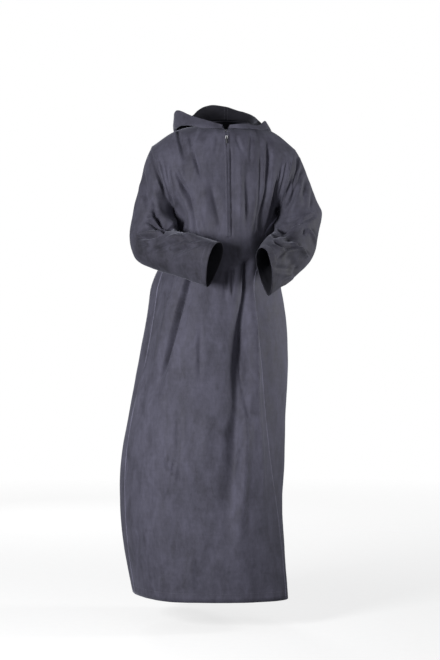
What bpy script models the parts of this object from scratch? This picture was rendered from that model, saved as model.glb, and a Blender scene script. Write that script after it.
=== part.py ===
"""Hooded thobe robe in its worn form, hollow and with no wearer.

Frame: metres, +Z up. The front of the robe faces -Y and +X is the wearer's left.
Origin: the middle of the neck opening, where the wearer's shoulders carry the cloth.

Every cloth piece is an open surface through rows of points, given its thickness by Solidify.
A row is a smooth line through a few places of a section table, and the folds are soft ridges
and troughs that move the surface along its own normal.
"""

import math
from collections import namedtuple

import bmesh
import bpy
import numpy as np
from mathutils import Matrix, Vector

# ---------------------------------------------------------------- driving sizes (metres)
CLOTH = 0.0012  # cloth wall
SEAM_GAP = 0.0006  # clearance between two sewn edges
SLEEVE_GAP = 0.0006  # how far a sleeve starts beyond the armhole
HOOD_LIFT = 0.0023  # how far the hood's neck edge stands over the body's
ARMPIT_EASE = 0.0010  # how far the body's armhole lies below the sleeve at the armpit
SEAM_STRIP = 0.004  # narrow strip of faces along each sewn edge
SEAM_HOLD = (0.0, 0.014)  # folds start this far from a sewn edge and are full that much further
EVEN_HOLD = (0.025, 0.070)  # the same for the evening out of rows

NECK_HALF_WIDTH = 0.080
NECK_FRONT_Y = -0.088
NECK_BACK_Y = 0.074
NECK_FRONT_Z = -0.015
NECK_BACK_Z = 0.030

ZIP_HALF_SLIT = 0.0020  # half the width of the slit in the front
ZIP_LENGTH = 0.335  # from the neck to the bottom of the slit
ZIP_CHAIN_SHARE = 0.80  # how much of the slit's width the chain fills
ZIP_CHAIN_THICK = 0.0014
ZIP_CHAIN_SINK = 0.0002  # how far the chain's face lies below the cloth's
LIP_WIDTH = 0.0080  # each stitched lip over the zip
LIP_THICK = 0.0010
LIP_APART = 0.0004  # between the two lips
LIP_LIFT = 0.0004  # clearance between a lip and the cloth under it
LIP_TOP = 2  # the row of the front where the lips start, just under the slider

SLIDER_PLACE = 0.38  # where the slider sits, as a share of the way down to mid armhole
SLIDER_SIZE = (0.0066, 0.0018, 0.0100)  # across the zip, out of the cloth, along the zip
SLIDER_LIFT = 0.0020  # its back face above the cloth, clear of the lips
SLIDER_ROUND = 0.0007
ROUND_SEGMENTS = 3
LUG_THICK = 0.0012
LUG_HEIGHT = 0.0034
LUG_ROOT = 0.0005  # how far the lugs reach into the slider
LUG_LENGTH = 0.0034
PIN_RADIUS = 0.0005
PIN_HEIGHT = 0.0020  # above the slider's face
PIN_DOWN = 0.0010  # below the slider's middle
BARREL_RADIUS = 0.0015
BARREL_HOLE = 0.0009
BARREL_LENGTH = 0.0034
TAB_SIZE = (0.0040, 0.0010, 0.0190)  # across, thick, long
TAB_BELOW_PIN = 0.0011  # from the pin's middle to the tab's top edge
TAB_LEAN_DEG = 9  # the tab leans in until its end meets the cloth
ROUND_STEPS = 20

HEM_Z = -1.395

# ---------------------------------------------------------------- rows of faces
FRONT_HALF_COLUMNS = 23
BACK_HALF_COLUMNS = 10
SHOULDER_COLUMNS = (8, 6)  # columns of half a front and half a back that start on the shoulder seam
YOKE_ROWS = 6
TORSO_ROWS = 4
SKIRT_ROWS = 25
SKIRT_SPACING = 1.25  # rows grow further apart towards the hem
SLEEVE_RINGS = 20
HOOD_COLUMNS = 17
HOOD_STRIP_DEG = 2.5  # a narrow column beside the centre seam
HOOD_ROWS = (3, 6, 4)  # neck to roll, roll to bag, bag to rim
EVEN_ROUNDS = 8  # how often the body's rows are evened out near the armpits' level
EVEN_ROWS = 6  # how many rows above and below that level this reaches
RING_STRIP = 0.10  # where the second ring of a sleeve lies, as a share of the way to the next
LINE_STEPS = 16  # fine steps of a smooth line between two of its places

# ---------------------------------------------------------------- tables
# One row for each height below the armpits: where the side seams, the widest places,
# the middle of the front and the middle of the back lie.
Section = namedtuple(
    "Section",
    "z seam_r_x seam_r_y front_x front_y seam_l_x seam_l_y side_l_x side_r_x back_x back_y",
)
SECTIONS = [
    Section(-0.310, -0.144, 0.004, 0.008, -0.140, 0.120, -0.050, 0.142, -0.158, 0.000, 0.146),
    Section(-0.380, -0.166, -0.008, 0.006, -0.138, 0.106, -0.084, 0.154, -0.180, -0.004, 0.147),
    Section(-0.460, -0.200, -0.020, 0.002, -0.146, 0.084, -0.108, 0.162, -0.221, -0.010, 0.150),
    Section(-0.560, -0.216, -0.028, -0.008, -0.163, 0.091, -0.122, 0.178, -0.238, -0.015, 0.157),
    Section(-0.700, -0.241, -0.034, -0.025, -0.172, 0.104, -0.124, 0.186, -0.263, -0.025, 0.172),
    Section(-0.850, -0.278, -0.034, -0.035, -0.184, 0.116, -0.122, 0.180, -0.286, -0.035, 0.192),
    Section(-1.000, -0.300, -0.034, -0.042, -0.192, 0.132, -0.120, 0.175, -0.313, -0.045, 0.214),
    Section(-1.150, -0.301, -0.030, -0.046, -0.194, 0.153, -0.118, 0.161, -0.317, -0.055, 0.236),
    Section(-1.280, -0.290, -0.024, -0.048, -0.191, 0.167, -0.118, 0.158, -0.302, -0.060, 0.252),
    Section(HEM_Z, -0.272, -0.018, -0.048, -0.185, 0.177, -0.120, 0.158, -0.276, -0.060, 0.262),
]
SHOULDER_CROWN = 0.014  # how far the shoulder seam arches over its own chord
CHEST_FRONT = (0.006, -0.128)  # middle of the front and of the back at the armholes' middle
CHEST_BACK = (0.000, 0.132)
ARMPIT_FRONT = (0.006, -0.144)
ARMPIT_BACK = (0.000, 0.146)
ARMPIT_FULL = 0.001  # how far the back stands out behind each armpit
QUARTER_OUT = 0.56  # how far towards the edge the place between middle and edge lies
QUARTER_FULL = 0.86  # and how much of the middle's depth it has
SIDE_SHARE = 0.38  # where the widest place lies between seam and middle back, in depth

# One row for each ring of a sleeve, from armhole to cuff: the place on the outer side of the arm,
# the place on its inner side, half the depth between them, which way that depth turns, and how
# much narrower the ring is towards its outer side, where the cloth hangs below the wrist.
SleeveRing = namedtuple("SleeveRing", "outer inner half_depth turn_deg pinch")
RIGHT_SLEEVE = [
    SleeveRing((-0.223, 0.006, -0.056), (-0.162, 0.006, -0.245), 0.094, 0, 0.0),
    SleeveRing((-0.242, 0.008, -0.102), (-0.165, 0.002, -0.252), 0.088, 0, 0.0),
    SleeveRing((-0.259, 0.010, -0.180), (-0.163, -0.018, -0.264), 0.080, 8, 0.0),
    SleeveRing((-0.271, 0.012, -0.250), (-0.158, -0.046, -0.276), 0.072, 20, 0.0),
    SleeveRing((-0.279, 0.008, -0.312), (-0.156, -0.070, -0.288), 0.065, 31, 0.0),
    SleeveRing((-0.276, -0.006, -0.362), (-0.160, -0.086, -0.299), 0.060, 36, 0.1),
    SleeveRing((-0.256, -0.042, -0.404), (-0.160, -0.100, -0.306), 0.055, 38, 0.2),
    SleeveRing((-0.195, -0.102, -0.432), (-0.148, -0.137, -0.316), 0.048, 43, 0.3),
    SleeveRing((-0.125, -0.166, -0.456), (-0.098, -0.190, -0.330), 0.044, 42, 0.4),
    SleeveRing((-0.054, -0.234, -0.483), (-0.019, -0.246, -0.355), 0.038, 28, 0.4),
]
LEFT_SLEEVE = [
    SleeveRing((0.208, 0.006, -0.066), (0.160, 0.006, -0.250), 0.094, 0, 0.0),
    SleeveRing((0.232, 0.008, -0.112), (0.163, 0.003, -0.258), 0.087, 0, 0.0),
    SleeveRing((0.252, 0.012, -0.170), (0.162, -0.014, -0.272), 0.078, -8, 0.0),
    SleeveRing((0.268, 0.014, -0.220), (0.158, -0.040, -0.285), 0.069, -20, 0.0),
    SleeveRing((0.279, 0.010, -0.256), (0.156, -0.068, -0.296), 0.063, -30, 0.0),
    SleeveRing((0.266, -0.004, -0.320), (0.158, -0.096, -0.306), 0.057, -38, 0.1),
    SleeveRing((0.254, -0.034, -0.384), (0.152, -0.124, -0.317), 0.051, -46, 0.2),
    SleeveRing((0.222, -0.085, -0.428), (0.138, -0.158, -0.328), 0.048, -56, 0.3),
    SleeveRing((0.180, -0.145, -0.466), (0.120, -0.202, -0.350), 0.042, -54, 0.4),
    SleeveRing((0.122, -0.215, -0.508), (0.100, -0.240, -0.370), 0.034, -36, 0.4),
]

# One row for each place round the neck, from the middle of the front by way of the wearer's
# right and the back to the left front. roll: where the cloth turns over near the neck. bag: where
# it hangs lowest. rim: the edge that frames the face when the hood is up.
HoodStation = namedtuple("HoodStation", "angle_deg roll bag rim")
HOOD = [
    HoodStation(4, (-0.008, -0.093, -0.006), (-0.010, -0.101, -0.012), (-0.010, -0.104, -0.003)),
    HoodStation(38, (-0.054, -0.080, 0.004), (-0.062, -0.108, -0.012), (-0.056, -0.100, 0.010)),
    HoodStation(72, (-0.088, -0.034, 0.014), (-0.112, -0.078, 0.000), (-0.102, -0.066, 0.028)),
    HoodStation(102, (-0.092, 0.010, 0.032), (-0.148, -0.016, 0.002), (-0.145, -0.024, 0.050)),
    HoodStation(128, (-0.080, 0.052, 0.060), (-0.152, 0.068, -0.020), (-0.155, 0.040, 0.034)),
    HoodStation(142, (-0.064, 0.068, 0.072), (-0.136, 0.134, -0.076), (-0.142, 0.100, 0.020)),
    HoodStation(158, (-0.040, 0.082, 0.080), (-0.086, 0.182, -0.200), (-0.096, 0.164, -0.008)),
    HoodStation(180, (0.000, 0.092, 0.076), (0.000, 0.204, -0.290), (0.000, 0.214, -0.040)),
    HoodStation(202, (0.040, 0.082, 0.062), (0.086, 0.182, -0.200), (0.090, 0.162, -0.016)),
    HoodStation(218, (0.062, 0.068, 0.054), (0.130, 0.138, -0.080), (0.126, 0.108, 0.000)),
    HoodStation(232, (0.078, 0.052, 0.044), (0.138, 0.070, -0.028), (0.124, 0.046, 0.014)),
    HoodStation(258, (0.090, 0.010, 0.024), (0.130, -0.014, -0.008), (0.114, -0.024, 0.018)),
    HoodStation(288, (0.083, -0.034, 0.010), (0.104, -0.080, -0.014), (0.096, -0.076, -0.002)),
    HoodStation(322, (0.052, -0.078, 0.003), (0.062, -0.107, -0.014), (0.052, -0.104, 0.000)),
    HoodStation(356, (0.008, -0.093, -0.006), (0.010, -0.101, -0.012), (0.010, -0.104, -0.003)),
]

# One row for each fold: a soft line from one place to another as seen from the front, or from
# behind for the back. bend moves its middle sideways, width is its half width, depth is how far
# it sinks in (a ridge is below zero) and deepest is how far along it that is.
Fold = namedtuple("Fold", "x0 z0 x1 z1 bend width depth deepest")
FRONT_FOLDS = [
    Fold(-0.144, -0.022, -0.110, -0.120, 0.004, 0.010, 0.008, 0.50),
    Fold(-0.114, -0.045, -0.072, -0.180, 0.005, 0.010, 0.008, 0.55),
    Fold(-0.142, -0.140, -0.097, -0.325, 0.008, 0.012, 0.018, 0.40),
    Fold(-0.106, -0.150, -0.062, -0.300, 0.006, 0.022, -0.009, 0.55),
    Fold(-0.040, -0.182, -0.014, -0.320, 0.004, 0.011, 0.006, 0.65),
    Fold(0.040, -0.120, 0.046, -0.330, 0.000, 0.012, -0.007, 0.60),
    Fold(0.060, -0.185, 0.064, -0.345, 0.000, 0.011, 0.011, 0.80),
    Fold(0.116, -0.175, 0.090, -0.330, 0.004, 0.011, 0.011, 0.60),
    Fold(0.126, -0.045, 0.112, -0.200, 0.008, 0.011, 0.008, 0.40),
    Fold(-0.119, -0.450, -0.197, -0.790, -0.004, 0.015, 0.026, 0.30),
    Fold(-0.150, -0.470, -0.214, -0.700, -0.004, 0.020, -0.009, 0.40),
    Fold(0.048, -0.420, 0.050, -0.640, 0.000, 0.013, 0.035, 0.45),
    Fold(0.042, -0.590, -0.020, -1.250, 0.012, 0.030, 0.024, 0.25),
    Fold(0.057, -0.600, 0.058, -0.880, 0.000, 0.012, 0.009, 0.35),
    Fold(0.070, -0.480, 0.072, -0.830, 0.000, 0.013, -0.011, 0.45),
    Fold(0.040, -0.760, 0.022, -1.200, 0.004, 0.018, -0.011, 0.40),
    Fold(0.080, -0.620, 0.096, -1.180, 0.004, 0.016, -0.007, 0.50),
    Fold(0.030, -0.700, 0.080, -1.400, 0.000, 0.070, -0.022, 0.50),
    Fold(-0.180, -0.900, -0.120, -1.420, 0.000, 0.050, 0.011, 0.60),
]
BACK_FOLDS = [
    Fold(-0.100, -0.260, -0.190, -1.420, -0.020, 0.028, 0.027, 0.80),
    Fold(-0.020, -0.420, -0.080, -1.420, 0.012, 0.030, 0.032, 0.85),
    Fold(0.060, -0.330, 0.050, -1.420, -0.010, 0.026, 0.024, 0.75),
    Fold(-0.060, -0.360, -0.130, -1.420, 0.008, 0.026, -0.019, 0.85),
    Fold(0.110, -0.300, 0.110, -1.420, 0.006, 0.022, 0.016, 0.70),
    Fold(0.020, -0.500, -0.010, -1.420, 0.000, 0.024, -0.016, 0.80),
    Fold(-0.120, -0.060, -0.080, -0.280, 0.010, 0.018, 0.008, 0.50),
    Fold(0.120, -0.070, 0.085, -0.290, -0.010, 0.018, 0.008, 0.50),
]
RIGHT_SLEEVE_FOLDS = [
    Fold(-0.212, -0.105, -0.168, -0.225, 0.006, 0.012, 0.011, 0.50),
    Fold(-0.243, -0.125, -0.234, -0.255, 0.004, 0.014, 0.009, 0.60),
    Fold(-0.212, -0.252, -0.162, -0.300, -0.004, 0.011, 0.018, 0.50),
    Fold(-0.240, -0.296, -0.176, -0.318, 0.006, 0.011, 0.019, 0.60),
    Fold(-0.200, -0.330, -0.080, -0.345, -0.006, 0.014, -0.007, 0.40),
    Fold(-0.236, -0.390, -0.070, -0.346, -0.010, 0.011, 0.009, 0.50),
]
LEFT_SLEEVE_FOLDS = [
    Fold(0.215, -0.125, 0.176, -0.235, -0.006, 0.012, 0.011, 0.50),
    Fold(0.250, -0.190, 0.170, -0.290, -0.004, 0.013, -0.008, 0.60),
    Fold(0.150, -0.312, 0.200, -0.300, 0.000, 0.011, 0.013, 0.30),
    Fold(0.152, -0.340, 0.215, -0.352, 0.010, 0.011, 0.018, 0.45),
    Fold(0.180, -0.352, 0.240, -0.396, 0.002, 0.013, -0.011, 0.50),
    Fold(0.232, -0.410, 0.160, -0.430, 0.004, 0.012, 0.009, 0.50),
]


# ---------------------------------------------------------------- colours
Finish = namedtuple("Finish", "colour roughness metallic")
SLATE = (0.105, 0.103, 0.135)
CLOTH_FINISH = Finish(SLATE, 0.75, 0.0)
CHAIN_FINISH = Finish((0.030, 0.030, 0.034), 0.55, 0.0)
SLIDER_FINISH = Finish((0.62, 0.62, 0.64), 0.28, 1.0)
PULL_FINISH = Finish((0.10, 0.10, 0.11), 0.35, 1.0)


# ---------------------------------------------------------------- smooth lines
def hermite(keys, values, at):
    """Smooth curve through the values at the keys, read at other keys."""
    keys = np.asarray(keys, float)
    values = np.asarray(values, float)
    at = np.asarray(at, float)
    rise = np.diff(values, axis=0) / np.diff(keys)[:, None]
    slope = np.empty_like(values)
    slope[0], slope[-1] = rise[0], rise[-1]
    before = np.diff(keys)[:-1, None]
    after = np.diff(keys)[1:, None]
    slope[1:-1] = (rise[:-1] * after + rise[1:] * before) / (before + after)
    span = np.clip(np.searchsorted(keys, at, side="right") - 1, 0, len(keys) - 2)
    width = (keys[span + 1] - keys[span])[:, None]
    t = (at - keys[span])[:, None] / width
    return (
        values[span] * (1 + 2 * t) * (1 - t) ** 2
        + slope[span] * width * t * (1 - t) ** 2
        + values[span + 1] * t**2 * (3 - 2 * t)
        + slope[span + 1] * width * t**2 * (t - 1)
    )


def chord_keys(points):
    """Keys for a smooth line, spaced by the root of each chord so that it never loops."""
    chords = np.sqrt(np.linalg.norm(np.diff(points, axis=0), axis=1))
    return np.concatenate([[0.0], np.cumsum(chords)])


def line_through(points):
    """Fine points of an open smooth line, with LINE_STEPS steps between two places."""
    points = np.asarray(points, float)
    keys = chord_keys(points)
    fine = np.interp(
        np.arange((len(points) - 1) * LINE_STEPS + 1) / LINE_STEPS, np.arange(len(points)), keys
    )
    return hermite(keys, points, fine)


def ring_through(points):
    """Fine points of a closed smooth line, which starts and ends at the first place."""
    points = np.asarray(points, float)
    lead = 2
    wrapped = np.concatenate([points[-lead:], points, points[: lead + 1]])
    fine = line_through(wrapped)
    return fine[lead * LINE_STEPS : (lead + len(points)) * LINE_STEPS + 1]


def length_of(line):
    return np.linalg.norm(np.diff(line, axis=0), axis=1).sum()


def spread(line, shares):
    """Points at these shares of the line's length."""
    reach = np.concatenate([[0.0], np.cumsum(np.linalg.norm(np.diff(line, axis=0), axis=1))])
    at = np.asarray(shares) * reach[-1]
    return np.stack([np.interp(at, reach, line[:, k]) for k in range(line.shape[1])], axis=1)


def edge_shares(line, columns, middle_margin=0.0):
    """Shares from a sewn edge to the middle: a narrow strip first, then even columns."""
    whole = length_of(line)
    gap = SEAM_GAP / 2 / whole
    strip = SEAM_STRIP / whole
    return np.concatenate([[gap], np.linspace(strip, 1 - middle_margin / whole, columns)])


# ---------------------------------------------------------------- body lines
def neckline(angles_deg, inset=0.0):
    """Points of the neck opening. Angle 0 is the middle of the front, positive to the left."""
    a = np.radians(np.asarray(angles_deg, float))
    x = (NECK_HALF_WIDTH - inset) * np.sin(a)
    middle_y = (NECK_FRONT_Y + NECK_BACK_Y) / 2
    y = middle_y - ((NECK_BACK_Y - NECK_FRONT_Y) / 2 - inset) * np.cos(a)
    z = (NECK_FRONT_Z + NECK_BACK_Z) / 2 + (NECK_FRONT_Z - NECK_BACK_Z) / 2 * np.cos(a)
    return np.stack([x, y, z], axis=1)


def ring_frame(ring):
    """(centre, half axis to the outer side, half axis to the front) of a sleeve ring."""
    outer, inner = np.array(ring.outer), np.array(ring.inner)
    turn = math.radians(ring.turn_deg)
    front = np.array([-math.sin(turn), -math.cos(turn), 0.0]) * ring.half_depth
    return (outer + inner) / 2, (outer - inner) / 2, front


def ring_points(ring, angles):
    """Points of a ring. Angle 0 is its outer side, a quarter turn its front."""
    centre, out, front = ring_frame(ring)
    angles = np.asarray(angles)[:, None]
    across = np.sin(angles) * (1 - ring.pinch * np.cos(angles))
    return centre + np.cos(angles) * out + across * front


def armhole(side, angle):
    """A point of the armhole: angle 0 on the shoulder, pi in the armpit, positive in front."""
    ring = RIGHT_SLEEVE[0] if side < 0 else LEFT_SLEEVE[0]
    low = (*ring.inner[:2], ring.inner[2] - ARMPIT_EASE)
    return ring_points(ring._replace(inner=low), [angle])[0]


def armhole_angles():
    """Angles of the armhole's points, which the body's rows and the sleeve's rings share."""
    yoke = yoke_shares()[2:]
    torso = np.linspace(0, 1, TORSO_ROWS + 1)
    return np.concatenate([[0], yoke, 1 + torso]) * math.pi / 2


def yoke_shares():
    """Rows from the shoulder seam to mid armhole: half a gap, the seam's strip, then even rows."""
    reach = RIGHT_SLEEVE[0].half_depth * math.pi / 2
    gap, strip = SEAM_GAP / 2 / reach, SEAM_STRIP / reach
    return np.concatenate([[gap], np.linspace(strip, 1, YOKE_ROWS)[:-1]])


def top_half(side, facing):
    """Shoulder seam, then neckline to the middle. facing is -1 for the front, 1 for the back."""
    seam_end = neckline([side * 90])[0]
    shoulder = armhole(side, 0)
    crown = (seam_end + shoulder) / 2 + np.array([0, 0, SHOULDER_CROWN])
    seam = line_through([shoulder, crown, seam_end])
    last = 0 if facing < 0 else 180
    arc = neckline(np.linspace(side * 90, side * last, LINE_STEPS + 1))
    return seam, arc


def row_places(edge_r, middle, edge_l):
    """Edge, quarter, middle, quarter and edge of a row over the chest or over the back."""
    edge_r, middle, edge_l = np.array(edge_r), np.array(middle), np.array(edge_l)

    def quarter(edge):
        place = middle + (edge - middle) * QUARTER_OUT
        place[1] = edge[1] + (middle[1] - edge[1]) * QUARTER_FULL
        return place

    return [edge_r, quarter(edge_r), middle, quarter(edge_l), edge_l]


def torso_row(share, facing):
    """Right and left half of the row at a share of the way from mid armhole to armpit."""
    angle = -facing * (math.pi / 2) * (1 + share)
    edge_r, edge_l = armhole(-1, angle), armhole(1, angle)
    start, end = (CHEST_FRONT, ARMPIT_FRONT) if facing < 0 else (CHEST_BACK, ARMPIT_BACK)
    x, y = np.array(start) + (np.array(end) - np.array(start)) * share
    middle = (x, y, (edge_r[2] + edge_l[2]) / 2)
    line = line_through(row_places(edge_r, middle, edge_l))
    half = len(line) // 2
    return line[: half + 1], line[half:][::-1]


def armpit_section():
    """The section table's row at the armpits."""
    right, left = armhole(-1, math.pi), armhole(1, math.pi)
    return Section(
        (right[2] + left[2]) / 2, right[0], right[1], *ARMPIT_FRONT, left[0], left[1],
        left[0] + ARMPIT_FULL, right[0] - ARMPIT_FULL, *ARMPIT_BACK,
    )  # fmt: skip


def section_at(z):
    table = np.array([armpit_section(), *SECTIONS])[::-1]
    return Section(*hermite(table[:, 0], table, [z])[0])


def section_ring(s, tilt):
    """Closed line round the robe at a section. tilt lowers the left armpit's side."""
    front = row_places(
        (s.seam_r_x, s.seam_r_y), (s.front_x, s.front_y), (s.seam_l_x, s.seam_l_y)
    )
    back = row_places(
        (s.side_r_x, s.seam_r_y + (s.back_y - s.seam_r_y) * SIDE_SHARE),
        (s.back_x, s.back_y),
        (s.side_l_x, s.seam_l_y + (s.back_y - s.seam_l_y) * SIDE_SHARE),
    )
    ring = ring_through(front + back[::-1])
    z = s.z - tilt * ring[:, 0]
    return np.column_stack([ring, z])


def skirt_row(share, facing):
    """Right and left half of the row at a share of the way from armpit to hem."""
    top = armpit_section().z
    right, left = armhole(-1, math.pi), armhole(1, math.pi)
    tilt = (right[2] - left[2]) / (left[0] - right[0]) * (1 - share) ** 2
    ring = section_ring(section_at(top + (HEM_Z - top) * share), tilt)
    step = LINE_STEPS
    if facing < 0:  # seam_r, quarter, front, quarter, seam_l
        return ring[: 2 * step + 1], ring[2 * step : 4 * step + 1][::-1]
    # side_l, quarter, back, quarter, side_r, seam_r
    return ring[7 * step :][::-1], ring[4 * step : 7 * step + 1]


def body_grid(facing):
    """Rows of points of the front (facing -1) or the back (facing 1), right edge to left edge."""
    half_columns = FRONT_HALF_COLUMNS if facing < 0 else BACK_HALF_COLUMNS
    on_shoulder = SHOULDER_COLUMNS[facing > 0]
    margin = ZIP_HALF_SLIT if facing < 0 else 0.0

    def join(right, left):
        first = 0 if margin else 1  # the back's halves share their middle point
        return np.concatenate([right, left[::-1][first:]])

    def columns(line):
        return spread(line, edge_shares(line, half_columns, margin))

    def top_columns(side):
        seam, arc = top_half(side, facing)
        on_seam = edge_shares(seam, on_shoulder)
        whole = length_of(arc)
        on_arc = np.linspace(0, 1 - margin / whole, half_columns - on_shoulder + 1)[1:]
        return np.concatenate([spread(seam, on_seam), spread(arc, on_arc)])

    top = join(top_columns(-1), top_columns(1))
    chest = join(*[columns(half) for half in torso_row(0, facing)])
    rows = []
    for share in yoke_shares():
        forward, down = math.sin(share * math.pi / 2), 1 - math.cos(share * math.pi / 2)
        rows.append(top + (chest - top) * np.array([down, forward, down]))
    for share in np.linspace(0, 1, TORSO_ROWS + 1)[:-1]:
        rows.append(join(*[columns(half) for half in torso_row(share, facing)]))
    for share in np.linspace(0, 1, SKIRT_ROWS + 1) ** SKIRT_SPACING:
        rows.append(join(*[columns(half) for half in skirt_row(share, facing)]))
    return np.array(rows)


# ---------------------------------------------------------------- folds
def outward(grid, closed):
    """Unit normals at the points of a grid."""
    if closed:
        across = np.roll(grid, -1, axis=1) - np.roll(grid, 1, axis=1)
    else:
        across = np.gradient(grid, axis=1)
    normal = np.cross(np.gradient(grid, axis=0), across)
    return normal / np.linalg.norm(normal, axis=2, keepdims=True)


def smooth_step(t):
    t = np.clip(t, 0, 1)
    return t * t * (3 - 2 * t)


def fold_depth(fold, x, z):
    """How far this fold moves the points at these places in, as seen from the front."""
    start, end = np.array([fold.x0, fold.z0]), np.array([fold.x1, fold.z1])
    run = end - start
    side = np.array([-run[1], run[0]]) / np.linalg.norm(run)
    t = np.linspace(0, 1, 25)
    line = start + t[:, None] * run + (4 * t * (1 - t) * fold.bend)[:, None] * side
    away = (x[..., None] - line[:, 0]) ** 2 + (z[..., None] - line[:, 1]) ** 2
    nearest = away.argmin(-1)
    share = t[nearest]
    along = np.where(
        share < fold.deepest,
        smooth_step(share / fold.deepest),
        smooth_step((1 - share) / (1 - fold.deepest)),
    )
    return fold.depth * along * np.exp(-away.min(-1) / fold.width**2)


def edge_distance(grid, edge):
    """How far each point lies from an edge, along its row or column: top, bottom, left or right."""
    axis = 0 if edge in ("top", "bottom") else 1
    steps = np.linalg.norm(np.diff(grid, axis=axis), axis=2)
    start = np.zeros_like(steps.take([0], axis))
    reach = np.concatenate([start, np.cumsum(steps, axis)], axis)
    return reach.take([-1], axis) - reach if edge in ("bottom", "right") else reach


def held_edges(grid, edges, reach):
    """0 near the sewn edges of a grid and 1 well inside."""
    hold = np.ones(grid.shape[:2])
    for edge in edges:
        hold = hold * smooth_step((edge_distance(grid, edge) - reach[0]) / reach[1])
    return hold


def evened(grid, edges):
    """The grid with the rows near the armpits moved towards their neighbours, edges held."""
    rows_away = np.abs(np.arange(len(grid)) - YOKE_ROWS - TORSO_ROWS)
    near = smooth_step(2 - 2 * rows_away / EVEN_ROWS)
    hold = (held_edges(grid, edges, EVEN_HOLD) * near[:, None])[1:-1, :, None] / 2
    for _ in range(EVEN_ROUNDS):
        between = (grid[:-2] + grid[2:]) / 2
        grid[1:-1] += (between - grid[1:-1]) * hold
    return grid


def folded(grid, folds, facing, edges, closed=False):
    """The grid with its folds, on the faces that face the front (-1) or the back (1)."""
    normal = outward(grid, closed)
    if closed:
        normal = normal * np.sign((normal * (grid - grid.mean(axis=1, keepdims=True))).sum())
    seen = smooth_step(normal[..., 1] * facing / 0.5)
    depth = sum(fold_depth(fold, grid[..., 0], grid[..., 2]) for fold in folds)
    shift = depth * seen * held_edges(grid, edges, SEAM_HOLD)
    return grid - normal * shift[..., None]


# ---------------------------------------------------------------- sleeve and hood surfaces
def sleeve_grid(table):
    """Rings of a sleeve from armhole to cuff, each closed on itself."""
    flat = np.array([[*r.outer, *r.inner, r.half_depth, r.turn_deg, r.pinch] for r in table])
    keys = np.arange(len(table))
    at = np.concatenate([[0], np.linspace(RING_STRIP, len(table) - 1, SLEEVE_RINGS)])
    rings = hermite(keys, flat, at)
    half = armhole_angles()
    angles = np.concatenate([half, -half[1:-1][::-1]])
    grid = np.array([ring_points(SleeveRing(r[:3], r[3:6], *r[6:]), angles) for r in rings])
    step = grid[1] - grid[0]
    grid[0] += step / np.linalg.norm(step, axis=1, keepdims=True) * SLEEVE_GAP
    return grid


def hood_grid(side):
    """Rows of a hood half, from neck seam to rim. side is -1 for the wearer's right."""
    keys = np.array([station.angle_deg for station in HOOD], float)
    first, last = (keys[0], 180.0) if side < 0 else (180.0, keys[-1])
    at = np.linspace(first, last, HOOD_COLUMNS)
    at = np.sort(np.append(at, 180 + side * HOOD_STRIP_DEG))
    lines = [np.concatenate([s.roll, s.bag, s.rim]) for s in HOOD]
    cage = hermite(keys, lines, at).reshape(-1, 3, 3)
    neck = neckline(-at, inset=CLOTH / 2) + np.array([0, 0, HOOD_LIFT])
    cage = np.concatenate([neck[:, None], cage], axis=1)
    cage[at == 180, :, 0] += side * SEAM_GAP / 2
    return np.stack([hood_column(places) for places in cage], axis=1)


def hood_column(places):
    """Points down one line of the hood, with the same rows between its places in every line."""
    line = line_through(places)
    rows = [line[:1]]
    for span, count in enumerate(HOOD_ROWS):
        piece = line[span * LINE_STEPS : (span + 1) * LINE_STEPS + 1]
        rows.append(spread(piece, np.linspace(0, 1, count + 1)[1:]))
    return np.concatenate(rows)


# ---------------------------------------------------------------- zip
def zip_grids(front, slit_rows):
    """Rows of the chain in the slit, and of the two lips that lie over it."""
    right, left = FRONT_HALF_COLUMNS, FRONT_HALF_COLUMNS + 1
    normal = outward(front, False)[:, right : left + 1].mean(axis=1)
    normal /= np.linalg.norm(normal, axis=1, keepdims=True)
    edges = front[:slit_rows, right], front[:slit_rows, left]
    middle = (edges[0] + edges[1]) / 2
    across = edges[1] - edges[0]
    shares = np.array([-ZIP_CHAIN_SHARE / 2, 0, ZIP_CHAIN_SHARE / 2])
    chain = middle[:, None] + across[:, None] * shares[:, None]
    chain = chain - normal[:slit_rows, None] * ZIP_CHAIN_SINK
    lips = []
    for edge, beyond, side in ((right, right - 1, -1), (left, left + 1, 1)):
        run = front[:slit_rows, beyond] - front[:slit_rows, edge]
        run /= np.linalg.norm(run, axis=1, keepdims=True)
        inner = middle + across / np.linalg.norm(across, axis=1, keepdims=True) * (
            side * LIP_APART / 2
        )
        outer = front[:slit_rows, edge] + run * (LIP_WIDTH - ZIP_HALF_SLIT)
        places = [inner, front[:slit_rows, edge], outer]
        lip = np.stack(places if side > 0 else places[::-1], axis=1)
        lips.append((lip + normal[:slit_rows, None] * (LIP_LIFT + LIP_THICK))[LIP_TOP:])
    return chain, lips


def slider_frame(front):
    """Matrix of the slider: its X across the zip, its Y out of the cloth and its Z up the zip."""
    rows = front[:, FRONT_HALF_COLUMNS : FRONT_HALF_COLUMNS + 2].mean(axis=1)
    at = 1 + SLIDER_PLACE * (YOKE_ROWS - 1)
    low, high = rows[int(at)], rows[int(at) + 1]
    place = low + (high - low) * (at - int(at))
    up = Vector((0, low[1] - high[1], low[2] - high[2])).normalized()
    across = Vector((-1, 0, 0))
    out = up.cross(across)
    turn = Matrix((across, out, up)).transposed().to_4x4()
    return Matrix.Translation(Vector(place)) @ turn


def pin_place():
    """The hinge pin's middle in the slider's frame."""
    return Vector((0, SLIDER_LIFT + SLIDER_SIZE[1] + PIN_HEIGHT, -PIN_DOWN))


# ---------------------------------------------------------------- meshes
def clear_scene():
    for obj in list(bpy.data.objects):
        bpy.data.objects.remove(obj, do_unlink=True)


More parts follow.
